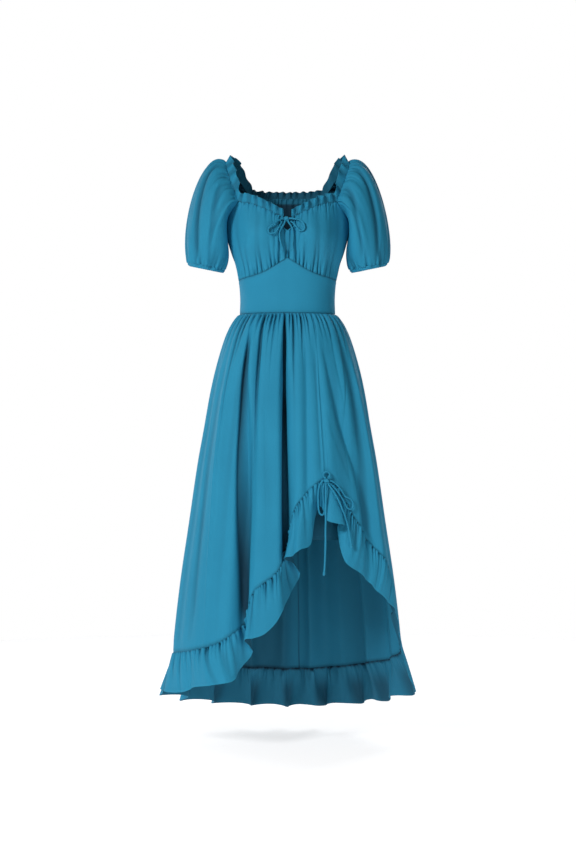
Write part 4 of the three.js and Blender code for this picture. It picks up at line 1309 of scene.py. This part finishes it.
@dataclass
class NeckRuffle:
    """The narrow ruffle that stands on the gathered neckline, in five lengths."""

    wave: float = 5.0
    rows: int = 16
    gap: float = 0.0005
    lines: list[np.ndarray] = field(default_factory=list)

    def length(self, start: float, end: float, waves: int, seed: int, columns: int) -> Sheet:
        """One length of ruffle from one place on the neckline to another.

        Args:
            start: where it starts on the neckline.
            end: where it ends.
            waves: how many waves it has.
            seed: for its random draws.
            columns: the steps across.

        Returns:
            The cloth.
        """
        part = np.linspace(start, end, columns + 1)
        around = np.where(part <= 3, part, 6 - part)
        base = neckline_at(around)
        ahead = neckline_at(around + 0.01) - neckline_at(around - 0.01)
        up = ruffle_way(around)
        out = unit(np.cross(unit(ahead), up))
        far = walked(base, 0)
        turn = (part - start) / (end - start) * waves * 2 * math.pi
        size = 0.7 + 0.6 * hidden_unevenness(np.floor(turn / math.pi + 1e-9) + start * 9)
        swing = np.sin(turn + 0.35 * np.sin(turn * 0.5)) * size * self.wave
        draw = np.random.default_rng(seed)
        pucker = np.zeros(far.shape)
        for place in np.arange(2, far[-1], 4.6):
            pucker -= draw.uniform(0.5, 1.3) * np.exp(-(((far - place - draw.uniform(-1.2, 1.2)) / 1.1) ** 2))
        share = np.linspace(1, 0, self.rows + 1)[None, :]
        tall = RUFFLE_STAND.at("tall", around) * (1 + 0.04 * np.sin(around * 23)) + 0.7 * np.sin(turn + seed)
        height = (share * tall[:, None] - 2.4 * (1 - share))[..., None]
        puckered = 1.5 * pucker[:, None] * (1 - share) ** 1.5 * share**0.3
        sideways = swing[:, None] * share**1.15 + puckered + 0.9
        lean = 0.8 * np.sin(turn * 0.63 + seed)[:, None] * share**2
        points = base[:, None] + up[:, None] * height + out[:, None] * sideways[..., None]
        points = points + unit(ahead)[:, None] * lean[..., None]
        past = (part > 3)[:, None]
        points[..., 0] = np.where(past, -points[..., 0], points[..., 0])
        # Painted shade: darker where a wave swings inwards and near the ruffle's seam; on the inner face
        # darker towards the back.
        dip = np.clip(0.5 - swing[:, None] / self.wave, 0, 1) * 0.35 + 0.45 * np.exp(-((share / 0.14) ** 2))
        inside = 0.5 + 0.24 * smooth(1.9, 2.1, around)[:, None] + 0 * share
        return Sheet(points, fold=dip, inside=inside)

    def build(self, crepe: bpy.types.Material) -> None:
        """Makes the five lengths.

        Args:
            crepe: the finish of the cloth.
        """
        for side in Side:
            seed = 41 if side is Side.LEFT else 51
            for place, sheet in (
                ("front", self.length(0.09, 1 - self.gap, 6, seed, 200)),
                ("sleeve", self.length(1 + self.gap / 2, 2 - self.gap / 2, 8, seed + 3, 320)),
            ):
                name = f"neck_ruffle_{place}_{side.value}_frill"
                finish_cloth(wall_mesh(name, [sheet], RUFFLE_CLOTH, side is Side.RIGHT), crepe)
                self.lines.append(line_on(sheet.points * side.way, -2))
        sheet = self.length(2 + self.gap, 4 - self.gap, 10, 61, 340)
        finish_cloth(wall_mesh("neck_ruffle_back_frill", [sheet], RUFFLE_CLOTH), crepe)
        self.lines.append(line_on(sheet.points, -2))


@dataclass
class Sleeve:
    """A puff sleeve, gathered at the neckline and drawn in by elastic at the cuff."""

    side: Side
    folds: tuple[tuple[float, float, float, float], ...]
    cuff_at: tuple[float, float] = (190, -229)
    cuff_half: tuple[float, float] = (39, 50)
    cuff_tilt: float = 8
    cuff_dip: float = 4.5
    columns: int = 260
    rows: int = 96
    casing: float = 9.0
    lines: list[np.ndarray] = field(default_factory=list)

    def armhole(self, loop: np.ndarray) -> np.ndarray:
        """The armhole of the left sleeve, by share from the underarm round the front.

        Args:
            loop: shares of the way round, from the underarm by the front.

        Returns:
            Points in millimetres.
        """
        front_angle = mix(SIDE_SEAM, NECK_CORNER, np.clip(loop / 0.25, 0, 1))
        back_angle = mix(BACK_CORNER, SIDE_SEAM, np.clip((loop - 0.75) / 0.25, 0, 1))
        front = torso_point(front_angle, front_top(front_angle))
        back = torso_point(back_angle, back_top(back_angle))
        over = neckline_at(1 + np.clip((loop - 0.25) / 0.5, 0, 1))
        here = loop[..., None]
        return np.where(here <= 0.25, front, np.where(here >= 0.75, back, over))

    def curve(self, share: np.ndarray, t: np.ndarray) -> np.ndarray:
        """The smooth sleeve: lengthwise curves from the armhole to the cuff.

        Args:
            share: shares of the way round, from the underarm by the front.
            t: shares of the way from the armhole to the cuff.

        Returns:
            Points in millimetres.
        """
        loop = np.mod(share, 1.0)
        start = self.armhole(loop)
        turn = 2 * math.pi * loop
        end = np.stack([
            self.cuff_at[0] - self.cuff_half[0] * np.cos(turn),
            -self.cuff_half[1] * np.sin(turn),
            self.cuff_at[1] - self.cuff_tilt * np.cos(turn) - self.cuff_dip * np.sin(turn),
        ], -1)
        go = np.stack([SLEEVE_FORM.at(c, loop) for c in ("goX", "goY", "goZ")], -1)
        come = np.stack([SLEEVE_FORM.at(c, loop) for c in ("comeX", "comeY", "comeZ")], -1)
        neck = smooth(0.22, 0.32, loop) * smooth(0.78, 0.68, loop)
        reach = np.clip(np.where(loop < 0.5, loop, 1 - loop) / 0.25, 0, 1)
        angle = mix(SIDE_SEAM, np.where(loop < 0.5, NECK_CORNER, BACK_CORNER), reach)
        out = torso_normal(angle, np.where(loop < 0.5, front_top(angle), back_top(angle))) * [1, 1, 0]
        level = unit(go * [1, 1, 0])
        seam = unit(mix(unit(out), level, neck[..., None])) * mix(1.0, 0.6, neck)[..., None]
        t = t[..., None]
        first = (1 - t) ** 3 * (start + seam) + 3 * (1 - t) ** 2 * t * (start + go)
        return first + 3 * (1 - t) * t**2 * (end + come) + t**3 * end

    def lift(
        self, u: np.ndarray, v: np.ndarray, away: np.ndarray, neck_run: np.ndarray, cuff_run: np.ndarray
    ) -> np.ndarray:
        """How far the cloth lies off the smooth sleeve.

        Args:
            u: shares of the way round.
            v: shares of the way down.
            away: millimetres from the armhole.
            neck_run: millimetres along the armhole.
            cuff_run: millimetres along the cuff.

        Returns:
            The lift in millimetres, below 0 in a fold.
        """
        left = away[:, -1:] - away
        lift = np.zeros(u.shape)
        middle = np.sin(math.pi * np.minimum(1, v * 1.08)) ** 0.8
        for top, foot, deep, wide in self.folds:
            off = (u - mix(top, foot, v)) / wide
            lift -= deep * middle * np.exp(-((off * np.where(off < 0, 0.75, 1.5)) ** 2))
        seed = 71 if self.side is Side.LEFT else 81
        upper = smooth(0.2, 0.27, u) * smooth(0.8, 0.73, u)
        lower = smooth(0.0, 0.05, u) * smooth(1.0, 0.95, u)
        lift += Gathers(seed, 8.8, 3.6, 42, 2.3, 0.05).lift(neck_run, away, upper)
        lift += Gathers(seed + 1, 19.0, 5.0, 95, 3.6, 0.07, 6.0).lift(neck_run, away, upper)
        lift += Gathers(seed + 2, 9.5, 4.2, 26, 2.4, 0.06, 1.0).lift(cuff_run, left - self.casing, lower)
        lift += Gathers(seed + 3, 21.0, 5.0, 66, 4.2, 0.1, 6.0).lift(cuff_run, left, lower)
        puckers = np.sin(cuff_run * 1.35 + 0.7 * np.sin(cuff_run * 0.31))
        lift += 0.5 * puckers * smooth(self.casing + 1, 2, left) * lower
        lift += groove(left - self.casing, 1.1, 1.6) + groove(away, 0.6) * upper
        slow = Undulation(seed + 5, 1.4, 60).at(cuff_run, away)
        lift += slow * smooth(0, 25, away) * smooth(0, 25, left) * lower
        lift[-1] = lift[0] = (lift[0] + lift[-1]) / 2
        return lift

    def build(self, crepe: bpy.types.Material) -> None:
        """Makes the sleeve.

        Args:
            crepe: the finish of the cloth.
        """
        share = np.linspace(0, 1, self.columns + 1)
        t = np.linspace(0, 1, self.rows + 1)
        u, v = np.meshgrid(share, t - 0.055 * np.sin(2 * math.pi * t), indexing="ij")
        base = self.curve(u, v)
        facing = normals_of(base, closed=True)
        facing[-1] = facing[0]
        away = walked(base, 1)
        neck_run = walked(self.armhole(np.mod(share, 1.0)), 0)[:, None]
        lift = self.lift(u, v, away, neck_run, walked(base[:, -1], 0)[:, None])
        points = base + facing * lift[..., None]
        points[-1] = points[0]
        cut = np.stack([neck_run * 1.1 + 0 * v, away], -1)
        # Painted shade: darker down in the long folds and gathers, and dark on the inner face.
        sheet = Sheet(points, cut, closed=True, fold=in_fold(lift, 10.0, 0.75), inside=0.8)
        name = f"puff_sleeve_{self.side.value}"
        finish_cloth(wall_mesh(name, [sheet], mirrored=self.side is Side.RIGHT), crepe)
        row = int(np.argmin(np.abs((away[:, -1:] - away).mean(0) - self.casing)))
        self.lines.append(line_on(points, row, closed=True) * self.side.way)


@dataclass(frozen=True)
class SkirtPanel:
    """A skirt panel and its flounce, from one seam to the next. None stands for the drawn-up seam."""

    place: str
    start: float | None
    end: float | None
    columns: int
    flounce_columns: int

    def start_at(self, row: np.ndarray) -> np.ndarray:
        """The angle of its first edge, by the share of the way down."""
        return slit_angle(row) if self.start is None else np.full(np.shape(row), self.start, float)

    def end_at(self, row: np.ndarray) -> np.ndarray:
        """The angle of its last edge."""
        return slit_angle(row) if self.end is None else np.full(np.shape(row), self.end, float)

    def seam_angle(self, share: np.ndarray) -> np.ndarray:
        """The angle at the hem seam: between even angles and even steps along the seam.

        Args:
            share: shares of the way along, from 0 to 1.

        Returns:
            Degrees from the front centre.
        """
        start, end = float(self.start_at(np.array(1.0))), float(self.end_at(np.array(1.0)))
        angles = np.linspace(start, end, 361)
        far = walked(skirt_point(angles, hem_seam(angles)), 0)
        stepped = np.interp(np.clip(share, 0, 1) * far[-1], far, angles)
        return mix(mix(start, end, np.clip(share, 0, 1)), stepped, 0.75)


PANELS = (
    SkirtPanel("front_right", -SIDE_SEAM, None, 330, 560),
    SkirtPanel("front_left", None, SIDE_SEAM, 180, 330),
    SkirtPanel("back", SIDE_SEAM, 360 - SIDE_SEAM, 300, 420),
)

# Where the drawstring casing is stitched beside its seam: a grid column in each panel, and the first row.
CASING_COLUMN = {"front_right": -6, "front_left": 5}
CASING_ROW = 94

# The long gathers of the skirt front: the angle at the waist and where each one ends, its depth, its half
# width in degrees and its length in millimetres.
FRONT_GATHERS = Table("top low deep wide long", (
    (-88, -86, 3.5, 2.6, 120), (-80, -78, 3.0, 2.4, 80), (-72, -70, 3.6, 2.6, 130),
    (-64, -63, 3.4, 2.2, 70), (-57.7, -54.5, 5.2, 2.3, 260), (-52.4, -53.5, 5.0, 1.9, 95),
    (-45.1, -44, 2.6, 1.7, 40), (-37, -36, 2.6, 1.7, 45), (-31.3, -29, 7.0, 2.0, 230),
    (-26, -25.4, 2.0, 1.5, 30), (-21, -21.5, 4.8, 1.8, 60), (-16.3, -17, 4.2, 1.9, 90),
    (-10.5, -10.5, 2.0, 1.5, 25), (-4.3, -3.6, 9.0, 1.8, 330), (3.0, 2.6, 3.6, 1.5, 34),
    (6.9, 6.0, 8.0, 1.8, 105), (12.8, 12.6, 2.0, 1.5, 24), (17.5, 16.0, 6.2, 1.8, 70),
    (22, 21.6, 2.0, 1.5, 28), (25.6, 25, 3.4, 1.7, 45), (32.5, 31, 3.0, 1.4, 60), (39, 38.6, 2.2, 1.7, 30),
    (43.5, 43, 2.4, 1.7, 34), (48.7, 47.5, 4.2, 1.9, 60), (57.7, 47.5, 3.4, 2.6, 230),
    (65, 63, 3.4, 2.2, 90), (72, 71, 3.0, 2.2, 70), (80, 79, 3.4, 2.4, 110), (88, 87, 3.0, 2.4, 80),
))
# Creases that the cloth keeps lower down: thin ridges (below 0 deep) and soft drags.
CREASES = Table("top low deep wide start end", (
    (-57.3, -49.8, -1.7, 0.75, 120, 900), (64.2, 65.6, -1.7, 0.75, 100, 600), (33.5, 55, 1.1, 3.6, 190, 500),
    (-68, -60, 2.0, 3.2, 160, 800), (-20, -15.5, 1.4, 3.0, 180, 560), (47, 52, 1.4, 2.6, 60, 330),
    (72, 76, 1.8, 3.2, 120, 560), (-43.5, -32.5, 9.5, 1.6, 20, 800), (-4, -0.9, 9.5, 1.4, 150, 780),
))


def gather_lift(angle: np.ndarray, down: np.ndarray, seed: int = 91) -> np.ndarray:
    """The gathers and creases of the skirt.

    Args:
        angle: degrees from the front centre.
        down: millimetres below the waist.
        seed: for the gathers that the photograph doesn't show.

    Returns:
        The lift in millimetres.
    """
    draw = np.random.default_rng(seed)
    rows = list(FRONT_GATHERS.rows)
    for place in np.arange(96, 268, 5.6):
        top = place + draw.uniform(-1.6, 1.6)
        low, deep, wide = top + draw.uniform(-2, 2), draw.uniform(2.2, 6.0), draw.uniform(1.8, 2.4)
        rows.append((top, low, deep, wide, draw.choice([40, 70, 120, 220])))
    lift = np.zeros(np.broadcast(angle, down).shape)
    started = smooth(0, 5, down)
    for top, low, deep, wide, long in rows:
        at = mix(top, low, smooth(0, long * 1.5, down))
        away = (angle - at + 180) % 360 - 180
        spread = wide * (1 - 0.35 * smooth(30, 200, down)) * np.where(away < 0, 0.5, 1.3)
        kept = 4.2 * np.exp(-((down / 32) ** 1.5)) + 1.15 * deep * np.exp(-((down / long) ** 1.8))
        lift -= kept * np.exp(-(np.abs(away / spread) ** 1.7)) * started
    for top, low, deep, wide, start, end in CREASES.rows:
        away = (angle - mix(top, low, smooth(start, end, down)) + 180) % 360 - 180
        strength = smooth(start, start + 90, down) * smooth(end, end - 160, down)
        spread = wide * (np.where(away < 0, 0.5, 1.4) if deep > 0 else 1.0)
        spread = spread * (1 + 0.8 * smooth(200, 500, down) * (deep > 5))
        lift -= deep * strength * np.exp(-(np.abs(away / spread) ** 1.6))
    return lift + 2.4 * started * np.exp(-down / 60)


@dataclass
class Skirt:
    """The gathered skirt with its high-low hem, and the flounce along it."""

    rows: int = 120
    flounce_rows: int = 40
    back_flutes: int = 8
    flutes_from: float = 98.0
    flutes_over: float = 164.0
    lines: list[np.ndarray] = field(default_factory=list)

    def panel_sheet(self, panel: SkirtPanel) -> Sheet:
        """A skirt panel.

        Args:
            panel: the skirt panel.

        Returns:
            The cloth.
        """
        share = np.linspace(0, 1, panel.columns + 1)
        row = np.linspace(0, 1, self.rows + 1) ** 1.45
        u, v = np.meshgrid(share, row, indexing="ij")
        seam = panel.seam_angle(share)[:, None]
        even = mix(panel.start_at(v), panel.end_at(v), u)
        angle = mix(even, seam, v**1.5)
        z = mix(WAIST_Z - SEAM_GAP / 2, hem_seam(seam), v)
        down = WAIST_Z - z
        edges = smooth(0, 0.012, u) * smooth(1, 0.988, u)
        rest = z - hem_seam(seam)
        lift = gather_lift(angle, down) * edges
        slow = Undulation(101, 1.6, 11).at(angle, down * 0.02)
        lift += slow * smooth(20, 160, down) * smooth(0, 40, rest) * edges
        lift += groove(down, 0.8, 1.5) + groove(rest, 0.7, 1.4)
        seam_run = walked(skirt_point(seam[:, 0], hem_seam(seam[:, 0])), 0)[:, None]
        lift += 0.55 * Gathers(111, 7.0, 1.4, 12).lift(seam_run, np.maximum(0, rest)) * edges
        points = skirt_point(angle, z) + skirt_normal(angle, z) * lift[..., None]
        # Painted shade on the inner face: a thin dark line of a crease at 172.4 degrees, darker from 172.5 to
        # 186 degrees and beyond, and near the hem seam; on the outer face darker in folds and at both seams.
        back_crease_shade = 0.45 * np.exp(-(((angle - 172.4) / 0.35) ** 2))
        inside = 0.37 + back_crease_shade + 0.3 * smooth(172.5, 186, angle) + seam_shade(rest, 5.0, 0.4)
        fold = in_fold(lift, 9.0, 0.95) + seam_shade(down) + seam_shade(rest)
        return Sheet(points, np.stack([seam_run + 0 * v, down], -1), fold=fold, inside=inside)

    def flute_phase(self, angle: np.ndarray) -> np.ndarray:
        """How far each angle is through the even flutes of the back, in radians."""
        return (angle - self.flutes_from) / self.flutes_over * self.back_flutes * 2 * math.pi

    def flutes(self, angle: np.ndarray) -> tuple[np.ndarray, np.ndarray, np.ndarray]:
        """How far the flounce's free edge lies across, below and outside its seam.

        Args:
            angle: degrees from the front centre, towards the wearer's left.

        Returns:
            The three distances, in millimetres.
        """
        turn = np.where(angle > 180, angle - 360, angle)
        phase = self.flute_phase(angle)
        back = (
            np.sin(phase) * 10,
            95 + np.cos(phase) * 5,
            22 + np.cos(phase) * 19 * (1 + 0.25 * np.sin(phase * 0.37 + 1.2)),
        )
        share = smooth(92, 104, np.abs(turn))
        front = (FRONT_FLUTES.at(c, turn) for c in ("across", "drop", "out"))
        return tuple(mix(f, b, share) for f, b in zip(front, back))

    def flounce_sheet(self, panel: SkirtPanel) -> Sheet:
        """The flounce under a skirt panel.

        Args:
            panel: the skirt panel.

        Returns:
            The cloth.
        """
        share = np.linspace(0, 1, panel.flounce_columns + 1)
        w = (np.linspace(0, 1, self.flounce_rows + 1) ** 1.2)[None, :]
        angle = panel.seam_angle(share)
        z = hem_seam(angle)
        base = skirt_point(angle, z)
        facing = skirt_normal(angle, z)
        near = [panel.seam_angle(share + d) for d in (-0.004, 0.004)]
        along = unit(skirt_point(near[1], hem_seam(near[1])) - skirt_point(near[0], hem_seam(near[0])))
        away = -unit(np.cross(facing, along))
        away = np.where(away[:, 2:] > 0, -away, away)
        across, drop, out = self.flutes(angle)
        outward = at_radius(angle, np.array(1.0), np.array(0.0))
        hang = np.maximum(0, w - 0.03)
        first = np.minimum(w, 0.05) / 0.05
        points = base[:, None] + away[:, None] * (SEAM_GAP - 2.6 * (1 - first) + 3 * first)[..., None]
        points -= facing[:, None] * (1.3 * smooth(0.7, 0, first))[..., None]
        points[..., 0] += across[:, None] * hang**1.3
        points[..., 2] -= drop[:, None] * hang * 0.97
        points += outward[:, None] * (out[:, None] * hang**0.85)[..., None]
        far = walked(base, 0)[:, None]
        down = walked(points, 1)
        edges = smooth(0, 0.01, share)[:, None] * smooth(1, 0.99, share)[:, None]
        seed = {"front_right": 121, "front_left": 131, "back": 141}[panel.place]
        lift = Gathers(seed, 9.0, 5.0, 24, 2.2, 0.05, 1.2).lift(far, down) * edges
        lift += Gathers(seed + 1, 19.0, 4.4, 60, 3.4, 0.06, 3.0).lift(far, down) * edges
        lift += groove(down, 0.8, 1.6)
        lift += Undulation(seed + 2, 0.8, 34).at(far, down) * smooth(10, 40, down) * edges
        # Painted shade on the inner face: on the back, darker where each flute flares out furthest; on the
        # front, dark all over; darker in the gathers near the seam and at the seam itself. On the outer face
        # darker in folds and at the seam.
        flute = smooth(-0.4, 1, np.cos(self.flute_phase(angle)))[:, None] * smooth(0.1, 0.6, w)
        own = 0.5 + 0.28 * flute if panel.place == "back" else 0.72
        inner = own + in_fold(2.5 - lift, 8.0, 0.5) * smooth(70, 10, down) + seam_shade(down, 4.0)
        smooth_form = normals_of(points)
        points = points + smooth_form * lift[..., None]
        cut = np.stack([far * 1.35 + 0 * down, down], -1)
        return Sheet(points, cut, fold=in_fold(lift, 7.0) + seam_shade(down, 2.6), inside=inner)

    def build(self, crepe: bpy.types.Material) -> None:
        """Makes the three panels and the three lengths of flounce.

        Args:
            crepe: the finish of the cloth.
        """
        for panel in PANELS:
            points = self.add(f"skirt_panel_{panel.place}", self.panel_sheet(panel), crepe)
            self.lines += [line_on(points, 4), line_on(points, -2)]
            if panel.place in CASING_COLUMN:
                edge = CASING_COLUMN[panel.place]
                out = normals_of(points)[edge, CASING_ROW:]
                self.lines.append(points[edge, CASING_ROW:] + out * THREAD_LIFT)
            points = self.add(f"flounce_frill_{panel.place}", self.flounce_sheet(panel), crepe)
            self.lines.append(line_on(points, -4))

    def add(self, name: str, sheet: Sheet, crepe: bpy.types.Material) -> np.ndarray:
        """Makes one piece of a sheet, and gives the sheet's points."""
        finish_cloth(wall_mesh(name, [sheet]), crepe)
        return sheet.points


@dataclass
class Lining:
    """The short lining, which shows in the slit."""

    columns: int = 260
    rows: int = 60
    waves: int = 9
    deep: float = 4
    hem: float = 12
    lines: list[np.ndarray] = field(default_factory=list)

    def build(self, material: bpy.types.Material) -> None:
        """Makes the lining.

        Args:
            material: its finish.
        """
        angle = np.linspace(0, 360, self.columns + 1)[:, None]
        long = WAIST_Z - LINING_HEM_Z
        down = np.linspace(0.6, long, self.rows + 1)[None, :]
        wave = np.cos(np.radians(angle) * self.waves) * self.deep * smooth(60, 500, down)
        radius = oval_radius(angle, *(LINING_FORM.at(c, down) for c in ("side", "front", "back"))) + wave
        points = at_radius(angle, radius, WAIST_Z - down)
        ripple = 1.2 * np.sin(np.radians(angle) * 31 + 2 * np.sin(np.radians(angle) * 3))
        lift = ripple * smooth(20, 140, down) * smooth(long, 300, down)
        facing = normals_of(points, True)
        points = points + facing * (lift - 1.0 * smooth(6, 0, down))[..., None]
        points[-1] = points[0]
        finish_cloth(wall_mesh("lining_tube", [Sheet(points, closed=True)], LINING_CLOTH), material)
        row = int(np.argmin(np.abs(long - down[0] - self.hem)))
        self.lines.append(line_on(points, row, closed=True))


# Stitches


@dataclass
class Stitching:
    """Rows of machine stitches along the seams, made by Geometry Nodes."""

    pitch: float = 3.0
    length: float = 2.1
    width: float = 0.5

    def tree(self, material: bpy.types.Material) -> bpy.types.NodeTree:
        """The node tree: a small rounded stitch at each step along every line.

        Args:
            material: its finish.

        Returns:
            The node tree.
        """
        tree = bpy.data.node_groups.new("stitch_rows", "GeometryNodeTree")
        tree.interface.new_socket("Lines", in_out="INPUT", socket_type="NodeSocketGeometry")
        for name in ("Pitch", "Length", "Width"):
            tree.interface.new_socket(name, in_out="INPUT", socket_type="NodeSocketFloat")
        tree.interface.new_socket("Stitches", in_out="OUTPUT", socket_type="NodeSocketGeometry")
        nodes, links = tree.nodes, tree.links
        given, made = nodes.new("NodeGroupInput"), nodes.new("NodeGroupOutput")
        curve = nodes.new("GeometryNodeMeshToCurve")
        steps = nodes.new("GeometryNodeResampleCurve")
        steps.mode = "LENGTH"
        ball = nodes.new("GeometryNodeMeshIcoSphere")
        fill(ball, {"Radius": 0.5, "Subdivisions": 1})
        size = nodes.new("ShaderNodeCombineXYZ")
        tangent = nodes.new("GeometryNodeInputTangent")
        turned = nodes.new("FunctionNodeAlignRotationToVector")
        turned.axis = "X"
        put = nodes.new("GeometryNodeInstanceOnPoints")
        real = nodes.new("GeometryNodeRealizeInstances")
        dressed = nodes.new("GeometryNodeSetMaterial")
        dressed.inputs["Material"].default_value = material
        join(links, (
            (given, "Lines", curve, "Mesh"),
            (curve, "Curve", steps, "Curve"),
            (given, "Pitch", steps, "Length"),
            (given, "Length", size, "X"),
            (given, "Width", size, "Y"),
            (given, "Width", size, "Z"),
            (tangent, "Tangent", turned, "Vector"),
            (steps, "Curve", put, "Points"),
            (ball, "Mesh", put, "Instance"),
            (turned, "Rotation", put, "Rotation"),
            (size, "Vector", put, "Scale"),
            (put, "Instances", real, "Geometry"),
            (real, "Geometry", dressed, "Geometry"),
            (dressed, "Geometry", made, "Stitches"),
        ))
        return tree

    def build(self, name: str, lines: list[np.ndarray], material: bpy.types.Material) -> bpy.types.Object:
        """Sews the lines of one part of the dress.

        Args:
            name: the piece's name.
            lines: the rows of stitches.
            material: the thread's finish.

        Returns:
            The stitches as one plain mesh.
        """
        places = np.concatenate(lines) * MM
        ends, start = [], 0
        for line in lines:
            index = start + np.arange(len(line))
            ends.append(np.stack([index[:-1], index[1:]], -1))
            start += len(line)
        rows = bpy.data.meshes.new(f"{name}_rows")
        rows.from_pydata(places.tolist(), np.concatenate(ends).tolist(), [])
        holder = bpy.data.objects.new(f"{name}_rows", rows)
        bpy.context.scene.collection.objects.link(holder)
        tree = self.tree(material)
        worker = holder.modifiers.new("stitch", "NODES")
        worker.node_group = tree
        sizes = {"Pitch": self.pitch, "Length": self.length, "Width": self.width}
        for item in tree.interface.items_tree:
            if item.item_type == "SOCKET" and item.in_out == "INPUT" and item.name in sizes:
                worker[item.identifier] = sizes[item.name] * MM
        shown = holder.evaluated_get(bpy.context.evaluated_depsgraph_get())
        mesh = bpy.data.meshes.new_from_object(shown)
        bpy.data.objects.remove(holder)
        mesh.name = name
        mesh.polygons.foreach_set("use_smooth", np.ones(len(mesh.polygons), bool))
        piece = bpy.data.objects.new(name, mesh)
        bpy.context.scene.collection.objects.link(piece)
        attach(piece, BODY)
        LOG.info("stitches %s: %d faces", name, len(mesh.polygons))
        return piece


# The room


@dataclass(frozen=True)
class Studio:
    """The camera, the pale floor and the soft lights, in metres and watts."""

    distance: float = 4.5
    aside: float = 0.0012
    eye: float = -0.611
    film: float = 36.0
    photo_height: int = 864
    metres_per_pixel: float = 0.00235
    floor: float = -1.3385
    rings: tuple[float, ...] = (0.0, 0.6, 1.2, 1.8, 2.4)
    glow: float = 0.73
    ambient: float = 0.1
    lit_at: Triple = (0, 0, -0.65)
    spread: float = 95.0
    lights: tuple[tuple[str, Triple, float, float], ...] = (
        ("key", (-2.4, -3.3, 1.5), 0.9, 34),
        ("fill", (2.4, -3.8, -0.1), 2.4, 8),
        ("behind", (1.6, 3.4, 1.4), 1.8, 26),
        ("behind_right", (-2.6, 2.4, 0.6), 1.8, 14),
    )

    def camera(self) -> None:
        """A level camera, as far off and as high as the photograph's."""
        lens = bpy.data.cameras.new("camera")
        lens.sensor_fit = "VERTICAL"
        lens.sensor_height = self.film
        lens.lens = self.film * self.distance / (self.photo_height * self.metres_per_pixel)
        seen = bpy.data.objects.new("camera", lens)
        seen.location = (self.aside, -self.distance, self.eye)
        seen.rotation_euler = (math.radians(90), 0, 0)
        bpy.context.scene.collection.objects.link(seen)
        bpy.context.scene.camera = seen

    def light(self, name: str, place: Triple, size: float, power: float) -> None:
        """A soft square light that faces the middle of the dress.

        Args:
            name: the light's name.
            place: where it stands.
            size: of its sides.
            power: its power.
        """
        lamp = bpy.data.lights.new(name, "AREA")
        lamp.size = size
        lamp.energy = power
        lamp.spread = math.radians(self.spread)
        made = bpy.data.objects.new(name, lamp)
        made.visible_camera = False
        made.location = place
        aim = np.array(self.lit_at) - np.array(place)
        level = math.hypot(aim[0], aim[1])
        made.rotation_euler = (math.atan2(level, -aim[2]), 0, math.atan2(aim[1], aim[0]) - math.pi / 2)
        bpy.context.scene.collection.objects.link(made)

    def ground(self) -> None:
        """The round pale floor, which glows a little so that its far edge doesn't show."""
        turn = np.linspace(0, 2 * math.pi, 97)[:-1]
        place = np.array([[r * math.cos(t), r * math.sin(t), self.floor] for r in self.rings for t in turn])
        at = np.arange(len(place)).reshape(len(self.rings), -1)
        ahead = np.roll(at, -1, axis=1)
        faces = np.stack([at[:-1], at[1:], ahead[1:], ahead[:-1]], -1).reshape(-1, 4)
        floor = mesh_object("floor", place, faces, place[faces.reshape(-1)][:, :2])
        paper = bpy.data.materials.new("pale_paper")
        paper.use_nodes = True
        fill(paper.node_tree.nodes["Principled BSDF"], {
            "Base Color": (0.55, 0.55, 0.56, 1),
            "Roughness": 0.95,
            "Specular IOR Level": 0.0,
            "Emission Color": (1, 1, 1, 1),
            "Emission Strength": self.glow,
        })
        floor.data.materials.append(paper)

    def surroundings(self) -> None:
        """Surroundings that look white and light the dress only a little."""
        world = bpy.data.worlds.new("studio")
        world.use_nodes = True
        nodes, links = world.node_tree.nodes, world.node_tree.links
        seen, rays = nodes["Background"], nodes.new("ShaderNodeLightPath")
        lit, either = nodes.new("ShaderNodeBackground"), nodes.new("ShaderNodeMixShader")
        seen.inputs["Color"].default_value = (1, 1, 1, 1)
        fill(lit, {"Color": (0.95, 0.98, 1, 1), "Strength": self.ambient})
        links.new(rays.outputs["Is Camera Ray"], either.inputs["Fac"])
        links.new(lit.outputs["Background"], either.inputs[1])
        links.new(seen.outputs["Background"], either.inputs[2])
        links.new(either.outputs["Shader"], nodes["World Output"].inputs["Surface"])
        bpy.context.scene.world = world
        bpy.context.scene.view_settings.view_transform = "Standard"

    def room(self) -> None:
        """Makes the floor, the surroundings and the lights."""
        self.ground()
        self.surroundings()
        for light in self.lights:
            self.light(*light)


def main() -> None:
    """Builds the dress and its room in order."""
    logging.basicConfig(level=logging.INFO, format="%(name)s: %(message)s")
    studio = Studio()
    studio.camera()
    finishes = Finishes()
    crepe = finishes.crepe.material()
    lining = finishes.inner.material()
    cord = finishes.cord.material()
    thread = finishes.thread.material()
    for bow in (NECK_BOW, SKIRT_BOW):
        bow.build(cord)
    bodice, ruffle, skirt, tube_lining = Bodice(), NeckRuffle(), Skirt(), Lining()
    sleeves = [Sleeve(side, folds) for side, folds in SLEEVE_FOLDS.items()]
    bodice.build(crepe)
    ruffle.build(crepe)
    for sleeve in sleeves:
        sleeve.build(crepe)
    skirt.build(crepe)
    tube_lining.build(lining)
    sewing = Stitching()
    sewing.build("stitches_bodice", bodice.lines + ruffle.lines, thread)
    sewing.build("stitches_sleeves", [line for sleeve in sleeves for line in sleeve.lines], thread)
    sewing.build("stitches_skirt", skirt.lines, thread)
    sewing.build("stitches_lining", tube_lining.lines, thread)
    studio.room()


if __name__ == "__main__":
    main()
